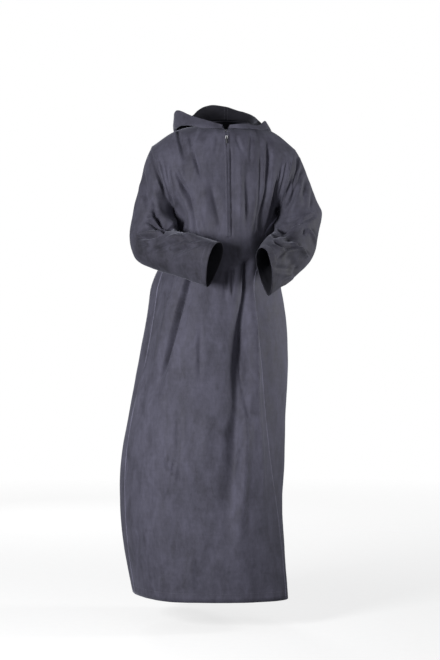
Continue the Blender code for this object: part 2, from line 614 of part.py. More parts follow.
def material(name, look):
    mat = bpy.data.materials.new(name)
    mat.use_nodes = True
    shader = mat.node_tree.nodes["Principled BSDF"]
    shader.inputs["Base Color"].default_value = (*look.colour, 1.0)
    shader.inputs["Roughness"].default_value = look.roughness
    shader.inputs["Metallic"].default_value = look.metallic
    return mat


def keep_all(row, column):
    return False


def surface_object(
    name, grid, collection, look=CLOTH_FINISH, thick=CLOTH, closed=False, skip=keep_all
):
    """An open surface over a grid of points, thickened inwards to a wall."""
    rows, columns = grid.shape[:2]
    mesh = bmesh.new()
    points = [[mesh.verts.new(p) for p in row] for row in grid]
    for i in range(rows - 1):
        for j in range(columns if closed else columns - 1):
            if skip(i, j):
                continue
            k = (j + 1) % columns
            mesh.faces.new((points[i][j], points[i + 1][j], points[i + 1][k], points[i][k]))
    loose = [v for v in mesh.verts if not v.link_faces]
    bmesh.ops.delete(mesh, geom=loose, context="VERTS")
    data = bpy.data.meshes.new(name)
    mesh.to_mesh(data)
    mesh.free()
    data.shade_smooth()
    data.materials.append(material(name, look))
    obj = bpy.data.objects.new(name, data)
    collection.objects.link(obj)
    wall = obj.modifiers.new("Cloth wall", "SOLIDIFY")
    wall.thickness = thick
    wall.offset = -1.0
    return obj


def box(name, size, centre, collection):
    mesh = bmesh.new()
    bmesh.ops.create_cube(mesh, size=1.0)
    bmesh.ops.scale(mesh, vec=size, verts=mesh.verts)
    bmesh.ops.translate(mesh, vec=centre, verts=mesh.verts)
    return finish(name, mesh, collection)


def rod(name, radius, length, centre, collection):
    """A round rod along X."""
    mesh = bmesh.new()
    bmesh.ops.create_cone(
        mesh, cap_ends=True, segments=ROUND_STEPS, radius1=radius, radius2=radius, depth=length
    )
    bmesh.ops.rotate(mesh, matrix=Matrix.Rotation(math.pi / 2, 3, "Y"), verts=mesh.verts)
    bmesh.ops.translate(mesh, vec=centre, verts=mesh.verts)
    return finish(name, mesh, collection)


def finish(name, mesh, collection):
    data = bpy.data.meshes.new(name)
    mesh.to_mesh(data)
    mesh.free()
    obj = bpy.data.objects.new(name, data)
    collection.objects.link(obj)
    return obj


def combine(base, others, matrix, look):
    """Joins or cuts the base with its helpers, bakes the result and removes the helpers."""
    for operation, other in others:
        step = base.modifiers.new(operation, "BOOLEAN")
        step.operation = operation
        step.object = other
        step.solver = "EXACT"
    graph = bpy.context.evaluated_depsgraph_get()
    data = bpy.data.meshes.new_from_object(base.evaluated_get(graph))
    base.modifiers.clear()
    base.data = data
    data.name = base.name
    data.materials.clear()
    data.materials.append(material(base.name, look))
    base.matrix_world = matrix
    for _, other in others:
        bpy.data.objects.remove(other, do_unlink=True)


def slider_object(frame, collection):
    width, thick, _ = SLIDER_SIZE
    face = SLIDER_LIFT + thick
    base = box("zip_slider", SLIDER_SIZE, (0, SLIDER_LIFT + thick / 2, 0), collection)
    bevel = base.modifiers.new("Rounded", "BEVEL")
    bevel.width = SLIDER_ROUND
    bevel.segments = ROUND_SEGMENTS
    others = []
    for side in (-1, 1):
        middle = face + (LUG_HEIGHT - LUG_ROOT) / 2
        centre = (side * (width - LUG_THICK) / 2, middle, -PIN_DOWN)
        size = (LUG_THICK, LUG_HEIGHT + LUG_ROOT, LUG_LENGTH)
        others.append(("UNION", box(f"lug{side}", size, centre, collection)))
    length = width - LUG_THICK
    others.append(("UNION", rod("pin", PIN_RADIUS, length, pin_place(), collection)))
    combine(base, others, frame, SLIDER_FINISH)


def pull_object(frame, collection):
    """The tab on the slider's pin. Its own origin is on the pin."""
    width, _, length = TAB_SIZE
    base = box("zip_pull", TAB_SIZE, (0, 0, -length / 2 - TAB_BELOW_PIN), collection)
    barrel = rod("barrel", BARREL_RADIUS, BARREL_LENGTH, (0, 0, 0), collection)
    hole = rod("hole", BARREL_HOLE, width + BARREL_LENGTH, (0, 0, 0), collection)
    lean = Matrix.Rotation(-math.radians(TAB_LEAN_DEG), 4, "X")
    matrix = frame @ Matrix.Translation(pin_place()) @ lean
    combine(base, [("UNION", barrel), ("DIFFERENCE", hole)], matrix, PULL_FINISH)


def main():
    clear_scene()
    robe = bpy.data.collections.new("Thobe robe")
    bpy.context.scene.collection.children.link(robe)

    sewn = ("top", "left", "right")
    front = folded(evened(body_grid(-1), sewn), FRONT_FOLDS, -1, sewn)
    back = folded(evened(body_grid(1)[:, ::-1], sewn), BACK_FOLDS, 1, sewn)
    right = folded(sleeve_grid(RIGHT_SLEEVE), RIGHT_SLEEVE_FOLDS, -1, ["top"], closed=True)
    left = sleeve_grid(LEFT_SLEEVE)[:, ::-1]
    left = folded(left, LEFT_SLEEVE_FOLDS, -1, ["top"], closed=True)
    slit_rows = np.count_nonzero(front[:, FRONT_HALF_COLUMNS, 2] > NECK_FRONT_Z - ZIP_LENGTH)

    def in_slit(row, column):
        return column == FRONT_HALF_COLUMNS and row < slit_rows - 1

    surface_object("front_panel", front, robe, skip=in_slit)
    surface_object("back_panel", back, robe)
    surface_object("sleeve_right", right, robe, closed=True)
    surface_object("sleeve_left", left, robe, closed=True)
    surface_object("hood_right", hood_grid(-1)[:, ::-1], robe)
    surface_object("hood_left", hood_grid(1)[:, ::-1], robe)

    chain, lips = zip_grids(front, slit_rows)
    surface_object("zip_chain", chain, robe, CHAIN_FINISH, ZIP_CHAIN_THICK)
    surface_object("zip_lip_right", lips[0], robe, thick=LIP_THICK)
    surface_object("zip_lip_left", lips[1], robe, thick=LIP_THICK)
    frame = slider_frame(front)
    slider_object(frame, robe)
    pull_object(frame, robe)


main()
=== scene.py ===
"""Looks of the hooded thobe robe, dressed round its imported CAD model.

Frame: metres, +Z up. The front of the robe faces -Y and +X is the wearer's left.
The long tables give lengths in millimetres, which in_metres turns.
The cloth follows the same lines as the CAD solids, with finer rows, more folds, seams and stitches.
"""

import math
from collections import namedtuple

import bmesh
import bpy
import numpy as np
from mathutils import Matrix, Vector


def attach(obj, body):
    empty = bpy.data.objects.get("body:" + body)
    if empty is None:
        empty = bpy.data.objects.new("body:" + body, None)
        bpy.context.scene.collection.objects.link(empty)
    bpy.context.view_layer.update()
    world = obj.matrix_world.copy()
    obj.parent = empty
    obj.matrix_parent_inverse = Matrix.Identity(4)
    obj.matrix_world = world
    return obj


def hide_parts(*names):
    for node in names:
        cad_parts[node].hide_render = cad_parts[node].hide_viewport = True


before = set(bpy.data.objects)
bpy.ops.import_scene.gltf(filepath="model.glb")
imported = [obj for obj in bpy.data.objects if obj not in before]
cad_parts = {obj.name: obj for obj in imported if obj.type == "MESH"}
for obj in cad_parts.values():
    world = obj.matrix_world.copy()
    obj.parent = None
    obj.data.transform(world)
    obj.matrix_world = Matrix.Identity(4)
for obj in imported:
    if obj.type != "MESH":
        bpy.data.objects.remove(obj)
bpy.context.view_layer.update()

MM = 1000  # millimetres in a metre


def in_metres(kind, lengths, rows):
    """Rows of a table as this kind of tuple, with their lengths turned from millimetres to metres."""
    table = []
    for row in rows:
        row = kind(*row)
        turned = {key: np.divide(getattr(row, key), MM) for key in lengths}
        table.append(row._replace(**turned))
    return table


# ---------------------------------------------------------------- sizes, as in the CAD
CLOTH = 0.0012  # cloth wall
HOOD_LIFT = 0.0023  # how far the hood's neck edge stands over the body's
ARMPIT_EASE = 0.0010  # how far the body's armhole lies below the sleeve at the armpit
SEAM_STRIP = 0.004  # narrow strip of faces along each sewn edge
SEAM_HOLD = (0.0, 0.014)  # folds start this far from a sewn edge and are full that much further
EVEN_HOLD = (0.025, 0.070)  # the same for the evening out of rows
NECK_HALF_WIDTH = 0.080
NECK_FRONT_Y = -0.088
NECK_BACK_Y = 0.074
NECK_FRONT_Z = -0.015
NECK_BACK_Z = 0.030
ZIP_HALF_SLIT = 0.0020  # half the width of the slit in the front
ZIP_LENGTH = 0.335  # from the neck to the bottom of the slit
LIP_WIDTH = 0.0080  # each stitched lip over the zip
LIP_THICK = 0.0010
LIP_APART = 0.0004  # between the two lips
LIP_LIFT = 0.0004  # clearance between a lip and the cloth under it
LIP_TOP = 2  # the row of the front where the lips start, just under the slider
FRONT_HALF_COLUMNS = 23
BACK_HALF_COLUMNS = 10
SHOULDER_COLUMNS = (8, 6)  # columns of half a front and half a back that start on the shoulder seam
YOKE_ROWS = 6
TORSO_ROWS = 4
SKIRT_ROWS = 25
SKIRT_SPACING = 1.25  # rows grow further apart towards the hem
SLEEVE_RINGS = 20
HOOD_COLUMNS = 17
HOOD_STRIP_DEG = 2.5  # a narrow column beside the centre seam
HOOD_ROWS = (3, 6, 4)  # neck to roll, roll to bag, bag to rim
EVEN_ROUNDS = 8  # how often the body's rows are evened out near the armpits' level
EVEN_ROWS = 6  # how many rows above and below that level this reaches
RING_STRIP = 0.10  # where the second ring of a sleeve lies, as a share of the way to the next
LINE_STEPS = 16  # fine steps of a smooth line between two of its places
WRAP = 2  # places of a ring that are repeated at either end, so that it closes smoothly
# One row for each height below the armpits, in millimetres: where the side seams, the widest
# places, the middle of the front and the middle of the back lie. The last row is the hem.
Section = namedtuple(
    "Section",
    "z seam_r_x seam_r_y front_x front_y seam_l_x seam_l_y side_l_x side_r_x back_x back_y",
)
SECTIONS = in_metres(Section, Section._fields, [
    (-310, -144, 4, 8, -140, 120, -50, 142, -158, 0, 146),
    (-380, -166, -8, 6, -138, 106, -84, 154, -180, -4, 147),
    (-460, -200, -20, 2, -146, 84, -108, 162, -221, -10, 150),
    (-560, -216, -28, -8, -163, 91, -122, 178, -238, -15, 157),
    (-700, -241, -34, -25, -172, 104, -124, 186, -263, -25, 172),
    (-850, -278, -34, -35, -184, 116, -122, 180, -286, -35, 192),
    (-1000, -300, -34, -42, -192, 132, -120, 175, -313, -45, 214),
    (-1150, -301, -30, -46, -194, 153, -118, 161, -317, -55, 236),
    (-1280, -290, -24, -48, -191, 167, -118, 158, -302, -60, 252),
    (-1395, -272, -18, -48, -185, 177, -120, 158, -276, -60, 262),
])
HEM_Z = SECTIONS[-1].z
SHOULDER_CROWN = 0.014  # how far the shoulder seam arches over its own chord
CHEST_FRONT = (0.006, -0.128)  # middle of the front and of the back at the armholes' middle
CHEST_BACK = (0.000, 0.132)
ARMPIT_FRONT = (0.006, -0.144)
ARMPIT_BACK = (0.000, 0.146)
ARMPIT_FULL = 0.001  # how far the back stands out behind each armpit
QUARTER_OUT = 0.56  # how far towards the edge the place between middle and edge lies
QUARTER_FULL = 0.86  # and how much of the middle's depth it has
SIDE_SHARE = 0.38  # where the widest place lies between seam and middle back, in depth
# One row for each ring of a sleeve, from armhole to cuff, in millimetres: the place on the outer
# side of the arm, the place on its inner side and half the depth between them. Then which way
# that depth turns, and how much narrower the ring is towards its outer side, where the cloth
# hangs below the wrist.
SleeveRing = namedtuple("SleeveRing", "outer inner half_depth turn_deg pinch")
RING_LENGTHS = ("outer", "inner", "half_depth")
RIGHT_SLEEVE = in_metres(SleeveRing, RING_LENGTHS, [
    ((-223, 6, -56), (-162, 6, -245), 94, 0, 0),
    ((-242, 8, -102), (-165, 2, -252), 88, 0, 0),
    ((-259, 10, -180), (-163, -18, -264), 80, 8, 0),
    ((-271, 12, -250), (-158, -46, -276), 72, 20, 0),
    ((-279, 8, -312), (-156, -70, -288), 65, 31, 0),
    ((-276, -6, -362), (-160, -86, -299), 60, 36, 0.1),
    ((-256, -42, -404), (-160, -100, -306), 55, 38, 0.2),
    ((-195, -102, -432), (-148, -137, -316), 48, 43, 0.3),
    ((-125, -166, -456), (-98, -190, -330), 44, 42, 0.4),
    ((-54, -234, -483), (-19, -246, -355), 38, 28, 0.4),
])
LEFT_SLEEVE = in_metres(SleeveRing, RING_LENGTHS, [
    ((208, 6, -66), (160, 6, -250), 94, 0, 0),
    ((232, 8, -112), (163, 3, -258), 87, 0, 0),
    ((252, 12, -170), (162, -14, -272), 78, -8, 0),
    ((268, 14, -220), (158, -40, -285), 69, -20, 0),
    ((279, 10, -256), (156, -68, -296), 63, -30, 0),
    ((266, -4, -320), (158, -96, -306), 57, -38, 0.1),
    ((254, -34, -384), (152, -124, -317), 51, -46, 0.2),
    ((222, -85, -428), (138, -158, -328), 48, -56, 0.3),
    ((180, -145, -466), (120, -202, -350), 42, -54, 0.4),
    ((122, -215, -508), (100, -240, -370), 34, -36, 0.4),
])
# One row for each place round the neck, from the middle of the front by way of the wearer's
# right and the back to the left front: its angle, and three places in millimetres. roll: where
# the cloth turns over near the neck. bag: where it hangs lowest. rim: the edge that frames the
# face when the hood is up.
HoodStation = namedtuple("HoodStation", "angle_deg roll bag rim")
HOOD = in_metres(HoodStation, ("roll", "bag", "rim"), [
    (4, (-8, -93, -6), (-10, -101, -12), (-10, -104, -3)),
    (38, (-54, -80, 4), (-62, -108, -12), (-56, -100, 10)),
    (72, (-88, -34, 14), (-112, -78, 0), (-102, -66, 28)),
    (102, (-92, 10, 32), (-148, -16, 2), (-145, -24, 50)),
    (128, (-80, 52, 60), (-152, 68, -20), (-155, 40, 34)),
    (142, (-64, 68, 72), (-136, 134, -76), (-142, 100, 20)),
    (158, (-40, 82, 80), (-86, 182, -200), (-96, 164, -8)),
    (180, (0, 92, 76), (0, 204, -290), (0, 214, -40)),
    (202, (40, 82, 62), (86, 182, -200), (90, 162, -16)),
    (218, (62, 68, 54), (130, 138, -80), (126, 108, 0)),
    (232, (78, 52, 44), (138, 70, -28), (124, 46, 14)),
    (258, (90, 10, 24), (130, -14, -8), (114, -24, 18)),
    (288, (83, -34, 10), (104, -80, -14), (96, -76, -2)),
    (322, (52, -78, 3), (62, -107, -14), (52, -104, 0)),
    (356, (8, -93, -6), (10, -101, -12), (10, -104, -3)),
])

# ---------------------------------------------------------------- finer sizes of the looks
SEAM_GAP = -0.0006  # the sewn edges lap over each other, so that no light comes through
SLEEVE_GAP = -0.0006
ROW_STEPS = 4  # rows of cloth for one row of the solids
FRONT_STEPS = 7  # columns of cloth for one column of the solids
BACK_STEPS = 8
SLEEVE_STEPS = 7
HOOD_STEPS = 5
CLOSED_WRAP = 3  # columns of a closed grid that are repeated at either end while it is refined
GROOVE_DEPTH = 0.0010  # a seam's groove, and the soft rise beside it
GROOVE_WIDTH = 0.0030
SEAM_RISE = 0.0007
SEAM_RISE_AT = 0.0060
SEAM_RISE_WIDTH = 0.0040
ROLL_WIDE = 0.0023  # the side seams' turned edge is a thin roll in a lighter suede, a painted highlight along each seam: half its width
ROLL_HIGH = 0.0016
ROLL_SINK = 0.0009
ROLL_STEP = 0.0050
ROLL_SIDES = 8
HEM_GROOVE = 0.0008
HEM_GROOVE_WIDTH = 0.0022
RIPPLE_HEIGHT = 0.0009
RIPPLE_BEND = 1.4  # how far the ripples' crests bend with height, in radians
RIPPLE_SHIFT = 2.3  # sets each wave's bend off against the others'
CREASE_HOLD = (0.001, 0.006)  # creases start this far from a sewn edge and are full that much further
FOLD_FACING = 0.5  # folds are full where the cloth faces this much to the front, or to the back
CREASE_FACING = 0.3
LIP_AT = 1.9  # a crease's raised edge, in half widths from its middle
LIP_SPREAD = 1.0
BAG_FRONT = 0.10  # the hood's creases start this far back and are full that much further
BAG_FADE = 0.04

STITCH = 0.0030
STITCH_GAP = 0.0008
THREAD = 0.00026  # half the thread's thickness
STITCH_ALONG = (0.0, 0.2, 0.8, 1.0)
STITCH_LIFT = (-0.0002, 0.0001, 0.0001, -0.0002)
STITCH_WIDE = (0.6, 1.0, 1.0, 0.6)
HEM_DEEP = 0.026
CUFF_DEEP = 0.022
RIM_DEEP = 0.014
NO_HEM = -1.0  # a depth that lies off the cloth
SEAM_STITCH_OFF = 0.0050
LIP_STITCH_OFF = 0.0016
# Across a lip, from its inner edge out: the share of its width, and of its thickness there.
LIP_SHARES = ((0.0, 0.55), (0.03, 1.0), (0.5, 1.0), (0.94, 1.0), (1.0, 0.45))

TOOTH_PITCH = 0.0016
TOOTH_OUT = 0.0004
TOOTH_LIFT = 0.0001
TOOTH_SIZE = (0.0018, 0.0006, 0.0011)

CAMERA_PLACE = (-0.018, -5.0, -0.606)
CAMERA_LENS = 90.91
CAMERA_SENSOR = 36.0
CAMERA_REACH = 100.0
BACKGROUND = 1.0
AMBIENT = 0.19
AMBIENT_COLOUR = (0.97, 0.98, 1.0)
FLOOR_Z = -1.482
FLOOR_RADIUS = 5.0
FLOOR_SEGMENTS = 96
FLOOR_GLOW = 0.74
FLOOR_FADE = (0.02, 0.90)  # from its rim to its middle, where it turns from clear to solid
LIGHTS = [  # name, place, target, size, watts and spread in degrees
    ("key", (-1.50, -2.10, -0.34), (0, 0, -0.48), (0.7, 0.7), 93.0, 180),
    ("fill", (2.6, -4.4, 0.2), (0, 0, -0.7), (1.6, 1.6), 34.0, 180),
    ("side", (2.2, 0.10, -0.15), (0.25, 0, -0.55), (0.5, 0.5), 5.6, 56),
    ("back", (-1.0, 3.4, 0.0), (0, 0, -0.5), (0.8, 0.8), 50.0, 180),
]

# Faint waves over all the cloth: turns per metre along X, Y and Z, phase, how the crests bend
# with height, and their share of the whole.
Wave = namedtuple("Wave", "x y z phase bend_z share")
WAVES = [
    Wave(11.0, 7.0, 1.5, 0.3, 7.0, 0.34),
    Wave(17.0, -9.0, -2.1, 1.9, 11.0, 0.26),
    Wave(6.0, 4.0, 9.0, 4.1, 5.0, 0.18),
    Wave(26.0, 15.0, 3.4, 2.6, 17.0, 0.14),
    Wave(-9.0, 12.0, 14.0, 5.2, 9.0, 0.08),
]

# One row for each fold or crease, from one place to another in X and Z, with left and right as
# seen from the front along its run. In millimetres: both places, bend, which moves its middle to
# the left, width, which is its half width, and depth, which is how far it sinks in (a ridge is
# below zero). Then fade_in and fade_out are the shares of its length that its ends take to fade,
# lip is the raised edge beside it as a share of its depth (above zero on its left), and lean
# makes it wider on its left and narrower on its right by this share.
Crease = namedtuple(
    "Crease", "x0 z0 x1 z1 bend width depth fade_in fade_out lip lean", defaults=(0, 0)
)


def creases(rows):
    return in_metres(Crease, ("x0", "z0", "x1", "z1", "bend", "width", "depth"), rows)


FRONT_FOLDS = creases([
    (-144, -22, -110, -120, 4, 10, 8, 0.5, 0.5),
    (-114, -45, -72, -180, 5, 10, 8, 0.55, 0.45),
    (-142, -140, -97, -325, 8, 12, 18, 0.4, 0.6),
    (-106, -150, -62, -300, 6, 22, -9, 0.55, 0.45),
    (-52, -168, -10, -320, 4, 10, 5.5, 0.42, 0.58),
    (40, -120, 46, -330, 0, 12, -7, 0.6, 0.4),
    (64, -110, 62, -345, 0, 17, 10, 0.62, 0.38),
    (116, -175, 90, -330, 4, 11, 11, 0.6, 0.4),
    (126, -45, 112, -200, 8, 11, 8, 0.4, 0.6),
    (-150, -470, -214, -700, -4, 20, -9, 0.4, 0.6),
    (57, -600, 58, -880, 0, 12, 9, 0.35, 0.65),
    (82, -480, 86, -830, 0, 14, -11, 0.45, 0.55),
    (54, -700, 36, -1240, 4, 16, -12, 0.4, 0.6),
    (80, -620, 96, -1180, 4, 16, -7, 0.5, 0.5),
    (30, -700, 80, -1400, 0, 70, -22, 0.5, 0.5),
    (-180, -900, -120, -1420, 0, 50, 11, 0.6, 0.4),
])
BACK_FOLDS = creases([
    (-100, -260, -190, -1420, -20, 28, 27, 0.8, 0.2),
    (-20, -420, -80, -1420, 12, 30, 32, 0.85, 0.15),
    (60, -330, 50, -1420, -10, 26, 24, 0.75, 0.25),
    (-60, -360, -130, -1420, 8, 26, -19, 0.85, 0.15),
    (110, -300, 110, -1420, 6, 22, 16, 0.7, 0.3),
    (20, -500, -10, -1420, 0, 24, -16, 0.8, 0.2),
    (-120, -60, -80, -280, 10, 18, 8, 0.5, 0.5),
    (120, -70, 85, -290, -10, 18, 8, 0.5, 0.5),
])
RIGHT_SLEEVE_FOLDS = creases([
    (-212, -105, -168, -225, 6, 12, 11, 0.5, 0.5),
    (-243, -125, -234, -255, 4, 14, 9, 0.6, 0.4),
    (-212, -252, -162, -300, -4, 11, 18, 0.5, 0.5),
    (-240, -296, -176, -318, 6, 11, 19, 0.6, 0.4),
    (-200, -330, -80, -345, -6, 14, -7, 0.4, 0.6),
    (-236, -390, -70, -346, -10, 11, 9, 0.5, 0.5),
])
LEFT_SLEEVE_FOLDS = creases([
    (215, -125, 176, -235, -6, 12, 11, 0.5, 0.5),
    (250, -190, 170, -290, -4, 13, -8, 0.6, 0.4),
    (150, -312, 200, -300, 0, 11, 13, 0.3, 0.7),
    (152, -340, 215, -352, 10, 11, 18, 0.45, 0.55),
    (180, -352, 240, -396, 2, 13, -11, 0.5, 0.5),
    (232, -410, 160, -430, 4, 12, 9, 0.5, 0.5),
])
FRONT_CREASES = creases([
    (-144, -9, -115, -126, -2.9, 4.5, 6, 0.05, 0.4, -0.5),
    (-109, -32, -65, -179, -2.9, 4, 5.5, 0.08, 0.4, -0.4),
    (-153, -126, -91, -337, 7.3, 6.5, 12, 0.15, 0.15, 0.45),
    (-176, -73, -129, -337, 5.9, 15, 9, 0.25, 0.15),
    (169, -73, 123, -337, 5.9, 14, 9, 0.25, 0.15),
    (-135, -237, -120, -342, 0, 13, 9, 0.4, 0.15),
    (-44, -173, -9, -337, -2.9, 7, 2.5, 0.3, 0.3),
    (-68, -132, -50, -290, 0, 15, -5, 0.4, 0.4),
    (-85, -161, -53, -331, -2.9, 6, 3.5, 0.4, 0.2),
    (58, -108, 61, -337, 0, 9, 3, 0.4, 0.3),
    (43, -67, 43, -301, 0, 9, -4, 0.3, 0.2),
    (99, -56, 82, -325, 8.8, 5, 5, 0.25, 0.1, 0.45),
    (128, -44, 96, -331, 7.3, 6, 6, 0.25, 0.1, 0.45),
    (123, -38, 128, -114, 0, 8, 5, 0.1, 0.5),
    (155, -143, 111, -342, 4.4, 5, 9, 0.25, 0.1, -0.45),
    (166, -214, 131, -342, 2.9, 8, 10, 0.3, 0.1),
    (193, -102, 169, -214, 2.9, 2.8, 3.6, 0.2, 0.2, -0.4),
    (181, -97, 158, -220, 2.9, 2.8, 3.2, 0.2, 0.2, -0.4),
    (169, -114, 143, -243, 2.9, 3.4, 3.4, 0.3, 0.3, -0.4),
    (-211, -85, -176, -220, -4.4, 3.4, 4, 0.2, 0.25, 0.5),
    (-194, -97, -161, -237, -2.9, 3.4, 4.5, 0.2, 0.2, 0.4),
    (-176, -120, -156, -249, -2.9, 3.6, 4.5, 0.3, 0.2, 0.4),
    (29, -35, 58, -102, -2.9, 5, 3, 0.1, 0.5, 0.4),
    (14, -67, 17, -337, 0, 4.2, 5, 0.1, 0.1, 0, -0.3),
    (73, -32, 70, -132, 0, 6, 4, 0.05, 0.5, -0.3),
    (-24, -38, -36, -108, 0, 6, 2.5, 0.1, 0.5, 0.3),
    (-105, -425, -199, -781, -4.4, 6, 25, 0.06, 0.3, 0, 0.45),
    (-88, -449, -158, -728, -4.4, 14, 5, 0.2, 0.5),
    (-105, -519, -123, -635, 1.5, 9, -3, 0.3, 0.5),
    (-129, -431, -216, -763, -4.4, 9, -9, 0.1, 0.45),
    (69, -396, 55, -711, 0, 14, 23, 0.05, 0.5, 0, -0.5),
    (61, -507, -6, -1294, 4.4, 24, 29, 0.22, 0.5, 0, -0.3),
    (62, -583, 59, -944, 0, 8, 11, 0.2, 0.4, 0, -0.3),
    (84, -466, 90, -868, 0, 10, -5, 0.1, 0.4, 0, 0.3),
    (46, -472, 32, -839, 0, 21, 10, 0.3, 0.4, 0, -0.5),
    (90, -472, 131, -577, -5.8, 4.5, -6, 0.15, 0.35, -0.4),
    (87, -519, 96, -810, 0, 4.5, 3, 0.3, 0.5, 0.4),
    (20, -425, 17, -524, 0, 5.5, 7, 0.1, 0.5, -0.4),
    (-6, -431, -1, -536, 0, 6, 4, 0.1, 0.6, 0.4),
    (81, -635, 104, -1207, -4.4, 9, -7, 0.3, 0.5),
    (61, -898, 61, -1277, 0, 10, 6, 0.3, 0.5),
    (-76, -571, -76, -787, 0, 7, 4, 0.4, 0.5, -0.3),
    (-164, -664, -152, -728, 0, 11, -4, 0.5, 0.5),
    (-187, -775, -193, -851, 0, 13, -5, 0.5, 0.5),
    (-140, -810, -138, -1014, 0, 10, 4, 0.4, 0.5, 0.2),
    (-59, -810, -65, -1043, 0, 22, -6, 0.5, 0.5),
    (-193, -988, -126, -1046, -2.9, 4.6, 6.5, 0.15, 0.2, 0.8),
    (-181, -973, -135, -1017, -2.9, 3.8, -5, 0.25, 0.3, 0.7),
    (-193, -965, -170, -979, 0, 3.2, 4.5, 0.3, 0.3, 0.5),
    (14, -1148, 67, -1151, 0, 3, 3.4, 0.3, 0.3, 0.5),
    (-62, -1233, -12, -1277, 5.8, 9, 5, 0.4, 0.5),
    (-170, -1067, -187, -1131, 0, 12, 5, 0.4, 0.5, 0.2),
    (-164, -1277, -199, -1341, 0, 12, 6, 0.4, 0.4, 0.3),
    (-251, -1160, -263, -1277, 0, 9, 5, 0.4, 0.4, -0.3),
    (-105, -1242, -97, -1364, 0, 12, -4, 0.4, 0.3),
    (-222, -1014, -234, -1218, 0, 18, 6, 0.4, 0.5),
    (-240, -664, -272, -898, 0, 8, -4, 0.4, 0.4, 0.3),
])
RIGHT_SLEEVE_CREASES = creases([
    (-225, -66, -177, -204, -6, 3.6, 5, 0.15, 0.2, -0.4),
    (-207, -90, -168, -222, -4.5, 3.4, 4.5, 0.2, 0.2, 0.4),
    (-195, -90, -168, -234, -3, 10, 7, 0.3, 0.3),
    (-249, -114, -234, -252, -3, 5.5, 7, 0.3, 0.3, -0.55),
    (-228, -186, -204, -258, 0, 6, 4, 0.4, 0.4, 0.3),
    (-270, -126, -276, -288, 0, 12, -5, 0.4, 0.4),
    (-218, -244, -153, -312, -8.8, 7.5, 15, 0.25, 0.1, 0.3),
    (-241, -283, -177, -315, 2.9, 5.5, 10, 0.25, 0.1, -0.4),
    (-236, -274, -200, -274, 4.4, 4, 6, 0.3, 0.4, -0.5),
    (-271, -333, -177, -318, -5.9, 5.5, 16, 0.3, 0.1, 0.35),
    (-189, -315, -153, -303, 0, 4, 6, 0.2, 0.2, 0.4),
    (-243, -393, -58, -344, 13, 6, 12, 0.3, 0.25, 0.5),
    (-182, -410, -64, -358, 8.6, 5.5, 8.5, 0.3, 0.3, -0.4),
    (-162, -335, -76, -376, 0, 7, -4, 0.3, 0.5),
    (-266, -355, -208, -364, 2.9, 5, 7, 0.4, 0.5, 0.4),
    (-104, -410, -58, -462, 0, 12, 3, 0.4, 0.4),
    (-139, -330, -99, -347, 0, 4.5, 5, 0.4, 0.5, 0.5),
])
LEFT_SLEEVE_CREASES = creases([
    (213, -84, 192, -204, 6, 3.4, 6, 0.1, 0.3, 0.5),
    (228, -114, 180, -258, 3, 6, 6, 0.2, 0.3, 0.5),
    (213, -168, 171, -270, 0, 4.5, 5, 0.3, 0.3, -0.5),
    (237, -144, 225, -240, 0, 7, 5.5, 0.3, 0.4, 0.4),
    (255, -180, 249, -258, 0, 5, 4, 0.4, 0.3, -0.4),
    (147, -309, 229, -283, -2.9, 5.5, 11, 0.1, 0.3, -0.4),
    (170, -286, 217, -274, -2.9, 3.6, 4.5, 0.3, 0.3, 0.4),
    (223, -288, 270, -265, 0, 5.5, 5.5, 0.2, 0.2, 0.5),
    (129, -330, 205, -309, 0, 9, 14, 0.1, 0.5),
    (135, -350, 217, -359, -13.2, 5, 10, 0.1, 0.2, -0.5),
    (188, -350, 244, -397, -2.9, 4.5, -9.5, 0.2, 0.2, 0.6),
    (235, -306, 264, -359, 5.9, 5, -9, 0.3, 0.3, 0.5),
    (235, -300, 223, -336, 0, 5, 6, 0.4, 0.4),
    (141, -409, 184, -363, 0, 5.5, 6, 0.3, 0.3, 0.5),
    (132, -427, 208, -438, 0, 7, 6, 0.3, 0.3, -0.5),
    (190, -456, 213, -421, 0, 4.5, 7, 0.3, 0.3, 0.5),
    (121, -375, 138, -438, 0, 5, 4, 0.3, 0.4, -0.4),
    (158, -485, 208, -450, 0, 5, -6, 0.3, 0.3, 0.5),
    (164, -398, 208, -409, 0, 14, 9, 0.4, 0.4),
])
RIGHT_BEHIND_CREASES = creases([
    (-190, -285, -285, -325, 4, 10, 10, 0.25, 0.4, 0.3),
    (-190, -262, -282, -262, -4, 9, 8, 0.25, 0.4, -0.3),
    (-205, -120, -262, -290, 6, 13, 8, 0.3, 0.3, 0.3),
])
LEFT_BEHIND_CREASES = creases([
    (180, -318, 262, -372, -4, 11, 9, 0.25, 0.4, 0.3),
    (178, -290, 258, -300, 3, 9, 7, 0.25, 0.4, -0.3),
    (196, -140, 245, -260, -5, 12, 9, 0.3, 0.3, -0.3),
])
HOOD_CREASES = creases([
    (-60, 30, -24, -150, 6, 12, 10, 0.2, 0.35, 0.25),
    (70, 26, 30, -120, -5, 13, 11, 0.2, 0.35, -0.2, 0.2),
    (-20, 20, -6, -190, 3, 16, -8, 0.25, 0.3),
    (24, -30, 12, -200, 0, 10, 8, 0.3, 0.3, 0.2),
])
BACK_CREASES = creases([
    (-50, -120, -60, -420, 6, 12, 10, 0.3, 0.3, 0.3),
    (70, -150, 40, -480, -8, 12, 11, 0.3, 0.3, 0.3),
    (0, -620, -60, -1300, 10, 16, 13, 0.3, 0.3, 0.3),
    (140, -420, 130, -1100, -6, 14, 13, 0.3, 0.3, 0.3),
    (-200, -520, -260, -1200, 10, 14, 13, 0.3, 0.3, 0.3),
])

